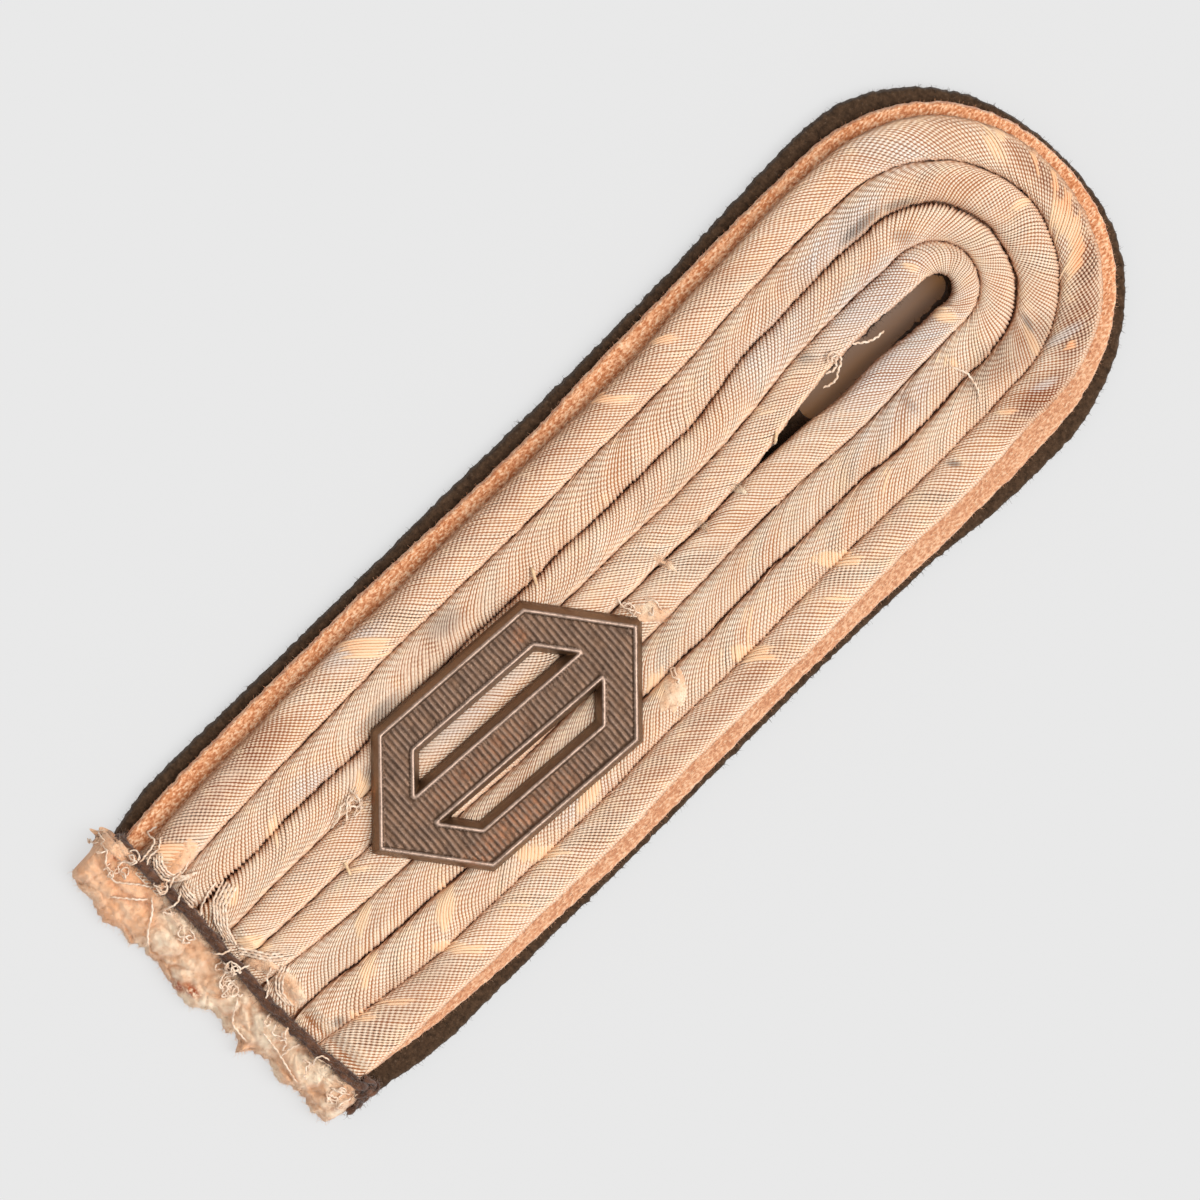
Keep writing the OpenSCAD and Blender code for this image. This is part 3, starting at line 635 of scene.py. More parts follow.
def rib_threads(rib):
    """The wrapped threads of one rib, from the cut end on the left to the one on the right."""
    rng = np.random.default_rng(40 + rib)
    starts = thread_starts(rib)
    count = len(starts)
    starts = starts + rng.normal(0, PLACE_SPREAD, count)
    tail = np.array([HALF_ARC, HALF_ARC + TUCK])
    reach = THREAD_REACH * HALF_ARC
    arcs = np.concatenate([-tail[::-1], np.linspace(-reach, reach, THREAD_STEPS), tail])
    round_loop = (starts - rib_length(rib) / 2) / (loop_arc(rib) / 2)
    slope = LEAN[rib] * lookup(STEEP, round_loop, rib)
    slope *= 1 + 0.12 * ripple(50 + rib, 17)(starts) + rng.normal(0, LEAN_SPREAD, count)
    sway = ripple(60 + rib, 7, 5)
    sweep = np.interp(round_loop, [-0.5, 0, 0.5], [SWEEP[rib][0], 0, SWEEP[rib][1]])
    sweep *= 0.8 + 0.4 * from_end(rib, starts)
    bent = arcs + 0.02 * arcs ** 3 + sweep[:, None] * arcs ** 2 / (2 * HALF_ARC)
    s = starts[:, None] + slope[:, None] * bent + SWAY * sway(starts[:, None], arcs)
    s = np.clip(s, 0.15, rib_length(rib) - 0.15)
    middle, _ = rib_surface(rib, s, arcs + 0 * s, THREAD_R)
    along = unit(np.gradient(middle, axis=1))
    apart = np.gradient(middle, axis=0)
    apart = np.linalg.norm(apart - along * (apart * along).sum(2, keepdims=True), axis=2)
    middle[..., 0] += SEEN
    edge = 0.3 + 0.28 * rng.uniform(-1, 1, (count, 1))
    worn = np.clip(4 * (spots(WORN, middle) - edge), 0, 1)
    calm = 1 - 0.25 * np.clip(round_loop, 0, 1)[:, None]
    clear = TWIST[rib] * calm * (1 + 0.25 * ripple(80 + rib, 13, 3)(starts[:, None], arcs))
    soft = 1 - np.clip(clear, 0, 1)
    patchy = 1 + 0.5 * ripple(170 + rib, 3, 3)(middle[..., 0], middle[..., 1])
    matted = np.clip(spots(MATTED, middle) * patchy, 0, 1)
    plain = np.maximum(np.maximum(worn, soft), 0.4 * from_end(rib, starts)[:, None])
    plain = np.maximum(plain, matted)
    warm, cool = spots(WARM_AND_SHADE, middle), spots(COOL, middle)
    tone = np.clip(0.5 + 0.4 * ripple(150 + rib, 1.8)(starts) + rng.normal(0, 0.2, count), 0, 1)
    row = np.arange(count)[:, None]
    up = (np.arange(len(arcs)) + row) % 2 == 0
    values = {
        "wear": worn,
        "matted": matted,
        "cool": cool,
        "warm": warm,
        "soot": spots(SOOT_AND_SHADE, middle),
        "tone": np.repeat(tone[:, None], len(arcs), 1),
        # Pale bead tops and brown dips: partly the threads' own colours, partly painted highlight and painted
        # shade
        "twist": np.where(up, 1, (0.25 + 0.5 * plain) * (1 - np.maximum(warm, 0.7 * cool))),
        # Painted light across the rib: 1 on its crown, less down its flanks
        "crown": np.repeat(np.clip(1.4 - np.abs(arcs)[None] / HALF_ARC, 0, 1), count, 0),
    }
    thick = np.clip(THREAD_FILL * apart, 0.1, 0.3) * (1 + rng.normal(0, 0.05, count))[:, None]
    bead = (BEAD + BEAD_MORE * np.maximum(warm, cool)) * np.where(up, 1, -1) * (1 - plain)
    radii = thick * (1 + bead) * (1 + 0.3 * np.maximum(worn, 0.6 * matted))
    lift = 0.04 * ripple(70 + rib, 5, 11)(starts[:, None], arcs) + rng.normal(0, 0.01, (count, 1))
    lift = lift + 0.03 * ripple(160 + rib, 1.1, 14)(starts[:, None], arcs) + 0.04 * worn
    lift = lift + np.clip(rng.normal(0, 0.08, (count, 1)), -0.14, 0.14) * (np.abs(arcs) / HALF_ARC) ** 3
    lift = np.where(np.abs(arcs) > reach, 0, np.clip(lift, SUNK, RAISED))
    lines, ups = rib_surface(rib, s, arcs + 0 * s, THREAD_R + 0.03 - lift)
    return tubes(lines, ups, radii, 3, values)


def rib_core(rib, depth):
    """Closed body of one rib, a depth under its surface."""
    places = np.arange(0.1, rib_length(rib), 1.0)
    across = np.linspace(-HALF_ARC, HALF_ARC, 13)
    s, arc = np.meshgrid(places, across, indexing="ij")
    top, _ = rib_surface(rib, s, arc, depth)
    foot = top[:, [-1, 0]].copy()
    foot[:, :, 2] = BRAID_Z + 0.05
    rings = np.concatenate([top, foot], 1)
    number, quads = ring_faces(*rings.shape[:2])
    caps = np.stack([number[0], number[-1, ::-1]])
    points = rings.reshape(-1, 3)
    seen = points + [SEEN, 0, 0]
    return Shell(points, [quads, caps], {"warm": spots(WARM_AND_SHADE, seen), "cool": spots(COOL, seen)}, 1)


# Shells that loose threads and pads lie on, the ribs among them nearly up to their threads
GROUND_DEPTH = 0.05
ground = []
for rib, node in {1: "inner_braid", 2: "inner_braid", 3: "outer_braid", 4: "outer_braid"}.items():
    ground.append(rib_core(rib, GROUND_DEPTH))
    shells = [rib_threads(rib), rib_core(rib, CORE_DEPTH)]
    make_piece(f"{node}_rib_{rib}", shells, [SILK, CORE], [node])


def wool_material():
    """Dark wool of the base."""
    p = Paint("base_wool", Roughness=0.95, Sheen_Weight=0.12, Sheen_Roughness=0.5, Specular_IOR_Level=0.1)
    color = p.mix(p.fit(p.noise(0.6, 5, 0.7), 0.3, 0.7), paint(44, 31, 20), paint(88, 66, 48))
    color = p.mix(p.fit(p.noise(0.3, 3), 0.62, 0.74, 0, 0.6), color, paint(100, 84, 70))
    rough = p.bump(p.noise(0.35, 4, 0.7), 0.16, 0.9)
    return p.finish(Base_Color=color, Normal=p.bump(p.noise(0.1, 2), 0.05, 0.6, rough))


def underlay_material():
    """Salmon wool of the underlay: nubbly, paler on the tops of its nubs, with painted shade in the hollows
    between them and on its right side.
    """
    p = Paint("underlay_wool", Roughness=0.9, Sheen_Weight=0.3, Sheen_Roughness=0.5, Specular_IOR_Level=0.15)
    color = p.mix(p.fit(p.noise(2.2, 4, 0.6), 0.35, 0.65), paint(218, 146, 98), paint(234, 174, 130))
    color = p.mix(p.fit(p.noise(1.1, 3, 0.6), 0.5, 0.34, 0, 0.5), color, paint(192, 118, 72))
    nubs = p.noise(0.24, 2, 0.6, (1, 0.5, 1))
    # Painted shade in the hollows between the nubs, from the same noise that sinks them in the bump
    color = p.mix(p.fit(nubs, 0.5, 0.38, 0, 0.85), color, paint(180, 104, 62))
    # Paler on the nubs' tops
    color = p.mix(p.fit(nubs, 0.53, 0.63, 0, 0.8), color, paint(252, 212, 174))
    # Painted shade: greyer towards the right side, where the lamp lights the underlay more
    color = p.mix(p.fit(p.across(), 12 * MM, 18 * MM, 0, 0.4), color, paint(198, 158, 128))
    rough = p.bump(nubs, 0.16, 0.9)
    return p.finish(Base_Color=color, Normal=p.bump(p.noise(0.1, 2), 0.04, 0.6, rough))


BASE_WOOL, UNDERLAY_WOOL = wool_material(), underlay_material()


def node_corners(node):
    """Corners of a flat cloth's top face, as the frame has them."""
    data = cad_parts[node].data
    points = np.array([v.co for v in data.vertices]) / MM
    top = points[points[:, 2] > points[:, 2].max() - 0.01]
    return np.unique(top[:, :2].round(3), axis=0)


def cloth_outline(node, spacing):
    """Outline of a cloth as the frame has it, anticlockwise in even steps."""
    corners = node_corners(node)
    inside = (np.abs(corners[:, 0]) < 3) & (np.abs(corners[:, 1]) < 50)
    edge = corners[~inside]
    edge = edge[np.argsort(np.arctan2(edge[:, 1], edge[:, 0]))]
    closed = np.vstack([edge, edge[:1]])
    run = run_along(closed)
    even = np.linspace(0, run[-1], int(run[-1] / spacing) + 1)[:-1]
    line = np.stack([np.interp(even, run, closed[:, i]) for i in (0, 1)], -1)
    for _ in range(6):
        line = (np.roll(line, 1, 0) + 2 * line + np.roll(line, -1, 0)) / 4
    return line


def slit_line(box, spacing):
    """Outline of a slit with round ends, anticlockwise."""
    (x0, y0), (x1, y1) = box
    middle, r = (x0 + x1) / 2, (x1 - x0) / 2
    side = np.arange(y0 + r, y1 - r, spacing)
    turn = np.linspace(0, math.pi, 7)
    return np.concatenate([
        np.stack([np.full(len(side), x1), side], -1),
        np.stack([middle + r * np.cos(turn), y1 - r + r * np.sin(turn)], -1)[:-1],
        np.stack([np.full(len(side), x0), side[::-1]], -1),
        np.stack([middle - r * np.cos(turn), y0 + r - r * np.sin(turn)], -1)[:-1],
    ])


def outward(line):
    """Unit normals of a closed line that runs anticlockwise, pointing away from its inside."""
    along = unit(np.roll(line, -1, 0) - np.roll(line, 1, 0))
    return np.stack([along[:, 1], -along[:, 0]], -1)


def inside_line(points, line):
    """Which points lie inside a closed line."""
    x, y = points[:, :1], points[:, 1:]
    a, b = line, np.roll(line, -1, 0)
    crosses = (a[:, 1] > y) != (b[:, 1] > y)
    rise = np.where(b[:, 1] == a[:, 1], 1, b[:, 1] - a[:, 1])
    return (crosses & (x < a[:, 0] + (b[:, 0] - a[:, 0]) * (y - a[:, 1]) / rise)).sum(1) % 2 == 1


def distance_to(points, line):
    """Least distance of points to a closed line."""
    a, d = line, np.roll(line, -1, 0) - line
    found = np.full(len(points), np.inf)
    for i in range(0, len(line), 64):
        p = points[:, None] - a[None, i:i + 64]
        t = np.clip((p * d[i:i + 64]).sum(2) / np.maximum((d[i:i + 64] ** 2).sum(1), 1e-12), 0, 1)
        found = np.minimum(found, np.linalg.norm(p - t[..., None] * d[i:i + 64], axis=2).min(1))
    return found


def filled(loops, extra):
    """Triangles over a flat area between an outer loop and its holes, with more points inside."""
    points = np.concatenate([*loops, extra])
    edges, start = [], 0
    for loop in loops:
        edges += [(start + i, start + (i + 1) % len(loop)) for i in range(len(loop))]
        start += len(loop)
    result = delaunay_2d_cdt([Vector(p) for p in points], edges, [], 0, 1e-7)
    flat = np.array([tuple(v) for v in result[0]])
    triangles = np.array(result[2])
    middle = flat[triangles].mean(1)
    keep = inside_line(middle, loops[0])
    for hole in loops[1:]:
        keep &= ~inside_line(middle, hole)
    return flat, triangles[keep]


def closing_walls(points, n, loops, normals, seed):
    """Rough walls from the loops of a flat face down to the same loops of the face n points on."""
    rng = np.random.default_rng(seed)
    count = sum(len(loop) for loop in loops)
    previous, sides, levels = np.arange(count), [], [points]
    total = len(points)
    for share in (0.25, 0.5, 0.75, 1):
        if share < 1:
            level = points[:count] * (1 - share) + points[n:n + count] * share
            bulge = 0.06 * math.sin(math.pi * share) + 0.03 * rng.normal(0, 1, count)
            level[:, :2] += normals * bulge[:, None]
            levels.append(level)
            current = total + np.arange(count)
            total += count
        else:
            current = n + np.arange(count)
        sides.append(wall_faces(loops, previous, current))
        previous = current
    return np.concatenate(levels), np.concatenate(sides)


# Distances from a cloth's edge at which its top has rows of points, and how many of them go round the slit
EDGE_ROWS = [0.05, 0.15, 0.3, 0.5, 0.8, 1.2, 1.7, 2.3, 3.0, 3.8]
SLIT_ROWS = 5
# Step of the points farther in
FELT_STEP = 1.1


def felt(node, slit_box, edge_r, roughness, spacing, seed, wider, hollows=()):
    """Shell of a cloth with soft, slightly ragged edges, its outline, slit and levels.

    Hollows are boxes in its underside: two corners and a depth.
    """
    low, high = box_mm(node)
    outline = cloth_outline(node, spacing)
    left, right = (np.interp(outline[:, 1], wider[:, 0], wider[:, i]) for i in (1, 2))
    outline[:, 0] += right * np.clip(outline[:, 0] / 5, 0, 1) + left * np.clip(outline[:, 0] / 5, -1, 0)
    slit = slit_line(slit_box, spacing)
    rng = np.random.default_rng(seed)
    ragged = roughness * (ripple(seed, 1.6, 1.6)(*outline.T) + 0.8 * rng.normal(0, 1, len(outline)))
    outline = outline + outward(outline) * ragged[:, None]
    slit = slit + outward(slit) * (0.08 * rng.normal(0, 1, len(slit)))[:, None]
    rows = [outline - outward(outline) * d for d in EDGE_ROWS]
    rows += [slit + outward(slit) * d for d in EDGE_ROWS[1:SLIT_ROWS]]
    rows = np.concatenate(rows)
    grid = np.stack(np.meshgrid(*(np.arange(low[i], high[i], FELT_STEP) for i in (0, 1))), -1)
    grid = grid.reshape(-1, 2) + rng.uniform(-0.15, 0.15, (grid.size // 2, 2))
    extra = np.concatenate([rows, grid])
    gap = np.minimum(distance_to(extra, outline), distance_to(extra, slit))
    keep = inside_line(extra, outline) & ~inside_line(extra, slit)
    keep &= gap > np.where(np.arange(len(extra)) < len(rows), 0.04, 0.6)
    flat, triangles = filled([outline, slit], extra[keep])
    gap = np.minimum(distance_to(flat, outline), distance_to(flat, slit))
    shape = np.array([noise.fractal((x * 0.9, y * 0.9, seed), 0.8, 2.1, 3) for x, y in flat])

    def rounded(radius):
        share = np.clip(1 - gap / radius, 0, 1)
        return radius * (1 - np.sqrt(1 - share ** 2))

    top = high[2] - rounded(edge_r) + 0.05 * shape - 0.05
    n = len(flat)
    rings = [np.array([(x0, y0), (x1, y0), (x1, y1), (x0, y1)]) for x0, y0, x1, y1, _ in hollows]
    under, under_triangles = filled([outline, slit, *rings], np.zeros((0, 2)))
    bottom = np.full(len(under), low[2])
    points = np.concatenate([np.column_stack([flat, top]), np.column_stack([under, bottom])])
    normals = np.concatenate([outward(outline), -outward(slit)])
    points, sides = closing_walls(points, n, [outline, slit], normals, seed + 1)
    faces = [triangles, under_triangles[:, ::-1] + n, sides]
    for i, (ring, hollow) in enumerate(zip(rings, hollows)):
        mouth = n + len(outline) + len(slit) + 4 * i + np.arange(4)
        roof = len(points) + np.arange(4)
        points = np.concatenate([points, np.column_stack([ring, np.full(4, low[2] + hollow[4])])])
        faces += [np.stack([np.roll(mouth, -1), mouth, roof, np.roll(roof, -1)], -1), roof[None, ::-1]]
    return Shell(points, faces), outline, slit, (low[2], high[2])


def fibres(roots, heads, length, radius, rng, curl=0.5, steps=3):
    """Short tapered hairs with three sides, bent at random."""
    count = len(roots)
    share = np.linspace(0, 1, steps)[None, :, None]
    long = (length * rng.uniform(0.4, 1.3, count))[:, None, None]
    bend = unit(rng.normal(0, 1, (count, 1, 3)))
    twist = unit(rng.normal(0, 1, (count, 1, 3)))
    lines = roots[:, None] + long * (unit(heads)[:, None] * share + curl * bend * share ** 2
                                     + 0.4 * curl * twist * np.sin(3.5 * share))
    radii = radius * rng.uniform(0.6, 1.3, (count, 1)) * (1 - 0.75 * share[:, :, 0])
    ups = np.broadcast_to(unit(rng.normal(0, 1, (count, 1, 3))), lines.shape)
    tone = np.repeat(rng.uniform(0, 1, (count, 1)), steps, 1)
    return tubes(lines, ups, radii, 3, {"tone": tone})


def felt_fibres(outline, levels, edge_r, count, reach, length, radius, seed):
    """Hairs along a cloth's edge and on the margin of its top."""
    rng = np.random.default_rng(seed)
    pick = rng.integers(0, len(outline), count)
    normal = outward(outline)[pick]
    depth = reach * rng.uniform(0, 1, count) ** 1.6
    on_side = rng.uniform(0, 1, count) < 0.35
    depth[on_side] = 0
    place = outline[pick] - normal * depth[:, None]
    share = np.clip(1 - depth / edge_r, 0, 1)
    z = levels[1] - edge_r * (1 - np.sqrt(1 - share ** 2)) - 0.06
    z[on_side] = rng.uniform(levels[0] + 0.1, levels[1] - edge_r, on_side.sum())
    heads = np.column_stack([normal * (0.2 + share)[:, None], 0.25 + 0.3 * (1 - share)])
    heads += rng.normal(0, 0.55, heads.shape)
    heads[:, 2] = np.abs(heads[:, 2])
    return fibres(np.column_stack([place, z]), heads, length, radius, rng)


# Slits of the two cloths: left, lower end, right, upper end
BASE_SLIT = ((-1.3, 24.8), (1.75, 44.8))
UNDERLAY_SLIT = ((-1.7, 17.6), (2.1, 45.4))
# Flat prongs of the device: places along the board, thickness, width, bent length, clearance round them
PRONG_Y = (-6.35, -32.65)
PRONG_T = 0.3
PRONG_W = 2.0
PRONG_LEG = 6.0
PRONG_GAP = 0.1


def prong_x(y):
    """Left side of a prong's leg."""
    return float(seam_x((y - END_Y) / LEG_L)) - PRONG_T / 2


def prong_hollow(y):
    """Pocket for a prong in the base: its sides and its depth."""
    x = prong_x(y)
    return (x - PRONG_GAP, y - PRONG_W / 2 - PRONG_GAP, x + PRONG_LEG + PRONG_GAP,
            y + PRONG_W / 2 + PRONG_GAP, PRONG_T + 2 * PRONG_GAP)


# How far the cloths stand out past their solids: place along the board, on the left, on the right
BASE_WIDER = np.array([
    [-50, 0.1, 0.1], [-30, 0, 0], [-16, 0, 0.25], [0, 0, 0.35], [28, -0.15, 0.4], [40, -0.15, 0.55],
    [50, -0.2, 0.6], [58, 0, 0.9],
])
UNDERLAY_WIDER = np.array([
    [-50, 0.35, -0.2], [-40, 0.25, 0], [-30, 0.25, 0.1], [0, 0.15, 0.3], [10, 0.2, 0.4], [18, 0, 0.4],
    [36, 0, 0.5], [58, 0.1, 0.5],
])
prong_hollows = [prong_hollow(y) for y in PRONG_Y]
base_shell, base_outline, base_slit, base_levels = felt(
    "base_cloth", BASE_SLIT, edge_r=0.4, roughness=0.05, spacing=0.4, seed=11,
    wider=BASE_WIDER, hollows=prong_hollows)
base_felt = make_piece("base_felt", [base_shell], [BASE_WOOL], ["base_cloth"])
base_hairs = [
    felt_fibres(
        base_outline, base_levels, edge_r=0.45, count=3600, reach=3.0, length=0.34, radius=0.02, seed=12),
    felt_fibres(
        base_slit[::-1], base_levels, edge_r=0.45, count=500, reach=0.4, length=0.4, radius=0.02, seed=13),
]
base_fuzz = make_piece("base_fuzz", base_hairs, [BASE_WOOL])
under_shell, under_outline, under_slit, under_levels = felt(
    "color_underlay", UNDERLAY_SLIT, edge_r=0.4, roughness=0.035, spacing=0.4, seed=21, wider=UNDERLAY_WIDER)
under_felt = make_piece("underlay_felt", [under_shell], [UNDERLAY_WOOL], ["color_underlay"])
under_hairs = [
    felt_fibres(
        under_outline, under_levels, edge_r=0.5, count=3800, reach=2.4, length=0.3, radius=0.018, seed=22),
]
under_fuzz = make_piece("underlay_fuzz", under_hairs, [UNDERLAY_WOOL])
ground += [base_shell, under_shell]


# Sizes of the metal device, as the frame's solid has them
DEVICE_LOW, DEVICE_HIGH = box_mm("metal_device")
DEVICE_MID = (DEVICE_LOW[:2] + DEVICE_HIGH[:2]) / 2
DEVICE_L = 34.7
DEVICE_W = 18.0
DEVICE_SIDE = 19.5
BAND_W = 3.7
BAR_W = 3.7
PLATE_T = 1.5
# Slope of its sides
DRAFT = math.tan(math.radians(20))
RIM_W = 0.45
RIM_H = 0.32
RIDGE_PITCH = 0.6
RIDGE_H = 0.1
DEVICE_TILT = math.radians(3.6)
DEVICE_Z = DEVICE_HIGH[2] - PLATE_T - RIM_H
# Step of the points along its outlines and across its fields, and of the rows of points on one ridge
OUTLINE_STEP = 0.3
FIELD_STEP = 0.35
RIDGE_ROWS = 4
# Across a rim: distance from the edge, height as a share
RIM_ROWS = {0: 0.5, 0.1: 0.92, 0.22: 1.0, 0.34: 0.92, 0.45: 0.1}
# How far below the rim's edge the side walls have points, the last at the device's foot
WALL_DROPS = [0.12, 0.45, 1.0, PLATE_T + RIM_H * 0.5]


def inset(outline, distance):
    """A convex outline moved inwards by a distance."""
    a, b, c = np.roll(outline, 1, 0), outline, np.roll(outline, -1, 0)
    u, v = unit(b - a), unit(c - b)
    bisector = np.stack([-u[:, 1] - v[:, 1], u[:, 0] + v[:, 0]], -1)
    return b + distance * 2 * bisector / (bisector ** 2).sum(1, keepdims=True)


def device_outlines():
    """The device's outline and its two openings, all anticlockwise."""
    ring = np.array([
        [0, -DEVICE_L / 2], [DEVICE_W / 2, -DEVICE_SIDE / 2], [DEVICE_W / 2, DEVICE_SIDE / 2],
        [0, DEVICE_L / 2], [-DEVICE_W / 2, DEVICE_SIDE / 2], [-DEVICE_W / 2, -DEVICE_SIDE / 2],
    ])
    inner = inset(ring, BAND_W)
    slope = (inner[2, 1] - inner[3, 1]) / inner[2, 0]
    shoulder = inner[3, 1] + slope * BAR_W / 2
    right = np.array([[BAR_W / 2, -shoulder], inner[1], inner[2], [BAR_W / 2, shoulder]])
    left = right[::-1] * [-1, 1]
    return ring, [right, left]


def stepped(outline, like, spacing):
    """Points along an outline, as many on each side as a like outline needs at a spacing."""
    found = []
    for i in range(len(outline)):
        a, b = outline[i], outline[(i + 1) % len(outline)]
        size = np.linalg.norm(like[(i + 1) % len(outline)] - like[i])
        share = np.arange(int(math.ceil(size / spacing))) / math.ceil(size / spacing)
        found.append(a + (b - a) * share[:, None])
    return np.concatenate(found)


def device_material():
    """Bronzed metal, dark in its hollows, lighter on its rims and ridge tops, partly rubbed bare and partly
    painted highlight.
    """
    p = Paint("device_metal", Metallic=0.8, Specular_IOR_Level=0.5)
    patina = p.mix(p.fit(p.noise(1.6, 4), 0.35, 0.7), paint(66, 46, 32), paint(90, 65, 47))
    patina = p.mix(p.fit(p.noise(0.25, 2), 0.6, 0.75, 0, 0.35), patina, paint(162, 136, 114))
    # Rims and ridge tops lighter: partly rubbed metal, partly painted highlight
    worn_and_highlit = p.math("MULTIPLY", p.value("bright"), p.fit(p.noise(0.5, 4), 0.3, 0.6, 0.45, 1))
    color = p.mix(worn_and_highlit, patina, paint(194, 166, 148))
    color = p.mix(p.value("wall"), color, paint(122, 94, 70))
    bare = p.math("MULTIPLY", p.value("copper"), p.fit(p.noise(0.6, 2), 0.35, 0.6))
    color = p.mix(bare, color, paint(176, 112, 74))
    rough = p.fit(p.noise(0.5, 3), 0.3, 0.7, 0.34, 0.52)
    pits = p.bump(p.noise(0.25, 4, 0.7), 0.05, 0.5)
    return p.finish(Base_Color=color, Roughness=rough, Normal=pits)


# Places on the device, in its own frame: x, y, half length, half width, angle, strength.
# Where copper shows
COPPER = [
    (7.2, -6, 13, 1.7, 90, 0.3), (0.0, -4, 10, 1.5, 90, 0.2), (-5, -14.5, 3.6, 0.8, -42, 1.0),
    (-7.0, 7.4, 1.6, 1.2, 90, 0.3),
]
# Where rims and ridges are worn low
RUBBED_DOWN = [(-3.8, -15.0, 3.2, 0.9, -40, 1.0)]


def block(low, high):
    """A closed box between two corners."""
    corners = np.array([[(low, high)[i][0], (low, high)[j][1], (low, high)[k][2]]
                        for i in (0, 1) for j in (0, 1) for k in (0, 1)])
    sides = [(0, 1, 3, 2), (4, 6, 7, 5), (0, 4, 5, 1), (2, 3, 7, 6), (0, 2, 6, 4), (1, 5, 7, 3)]
    return Shell(corners, [np.array(sides)], {"wall": np.full(8, 0.5)})


def prong_shells():
    """Two flat prongs, upright through the board and bent flat under it."""
    found = []
    for y in PRONG_Y:
        x = prong_x(y)
        low, high = y - PRONG_W / 2, y + PRONG_W / 2
        found.append(block((x, low, PRONG_GAP + PRONG_T), (x + PRONG_T, high, DEVICE_Z + PLATE_T / 2)))
        found.append(block((x, low, PRONG_GAP), (x + PRONG_LEG, high, PRONG_GAP + PRONG_T)))
    return found


def device_levels(ring, openings, distance):
    """Points along the device's outline and openings, moved into the metal by a distance."""
    lines = [(ring, distance), *((o, -distance) for o in openings)]
    return [stepped(inset(outline, d), outline, OUTLINE_STEP) for outline, d in lines]


def device_shell():
    """The device: rims, ribbed fields, sloping sides and a flat underside."""
    ring, openings = device_outlines()
    loops = device_levels(ring, openings, 0)
    extra = [line for d in list(RIM_ROWS)[1:] for line in device_levels(ring, openings, d)]
    xs = np.arange(-DEVICE_W / 2, DEVICE_W / 2, FIELD_STEP)
    rows = round(DEVICE_L / 2 / RIDGE_PITCH) * RIDGE_ROWS
    grid = np.stack(np.meshgrid(xs, np.arange(-rows, rows + 1) * RIDGE_PITCH / RIDGE_ROWS), -1).reshape(-1, 2)

    def edge_gap(points):
        return np.min([distance_to(points, line) for line in (ring, *openings)], 0)

    keep = inside_line(grid, ring) & (edge_gap(grid) > RIM_W + 0.06)
    for o in openings:
        keep &= ~inside_line(grid, o)
    flat, triangles = filled(loops, np.concatenate([*extra, grid[keep]]))
    gap = edge_gap(flat)
    profile = np.interp(gap, list(RIM_ROWS), list(RIM_ROWS.values()))
    on_rim = gap < RIM_W - 0.02
    slip = 0.04 * ripple(33, 7, 9)(*flat.T)
    ridge = RIDGE_H * (0.5 + 0.5 * np.cos(2 * math.pi * (flat[:, 1] + slip) / RIDGE_PITCH))
    uneven = np.clip(0.9 + 0.4 * ripple(34, 1.4, 0.9)(*flat.T), 0, 1)
    ridge *= np.clip((gap - RIM_W) / 0.2, 0, 1) * uneven
    worn = spots(RUBBED_DOWN, flat)
    wavy = 1 + 0.12 * ripple(31, 2.5, 2.5)(*flat.T)
    rim_top = RIM_H * profile * wavy * (1 - 0.8 * worn)
    top = PLATE_T + np.where(on_rim, rim_top, ridge * (1 - 0.5 * worn))
    top += 0.01 * ripple(32, 0.9, 0.9)(*flat.T) * ~on_rim
    # Lighter on the rims' crowns and the ridge tops: partly rubbed metal, partly painted highlight
    bright = np.where(on_rim, np.clip(profile * 1.1 - 0.15, 0, 1), 0.22 * ridge / RIDGE_H)
    bright *= 1 - 0.4 * worn
    n = len(flat)
    edge_count = sum(len(x) for x in loops)
    levels, quads, previous = [np.column_stack([flat, top])], [], np.arange(edge_count)
    for k, drop in enumerate(WALL_DROPS):
        foot = device_levels(ring, openings, -DRAFT * drop)
        z = max(WALL_DROPS[-1] - drop, 0)
        levels.append(np.column_stack([np.concatenate(foot), np.full(edge_count, z)]))
        current = n + k * edge_count + np.arange(edge_count)
        quads.append(wall_faces(loops, previous, current))
        previous = current
    points = np.concatenate(levels)
    under, under_triangles = filled(foot, np.zeros((0, 2)))
    under_index = np.array([previous[np.argmin(((points[previous, :2] - u) ** 2).sum(1))] for u in under])
    bottom = under_index[under_triangles][:, ::-1]
    more = (0, len(points) - n)
    hollow = np.pad(1 - 0.8 * ridge / RIDGE_H, more, constant_values=1)
    values = {
        "bright": np.pad(bright, more),
        "wall": np.pad(np.zeros(n), more, constant_values=1),
        "copper": spots(COPPER, points) * hollow,
    }
    cos, sin = math.cos(DEVICE_TILT), math.sin(DEVICE_TILT)
    turn = np.array([[cos, sin], [-sin, cos]])
    placed = np.column_stack([points[:, :2] @ turn.T + DEVICE_MID, points[:, 2] + DEVICE_Z])
    return Shell(placed, [triangles, bottom, np.concatenate(quads)], values)


device = device_shell()
ground.append(device)
make_piece("metal_device_cast", [device, *prong_shells()], [device_material()],
           ["metal_device"])


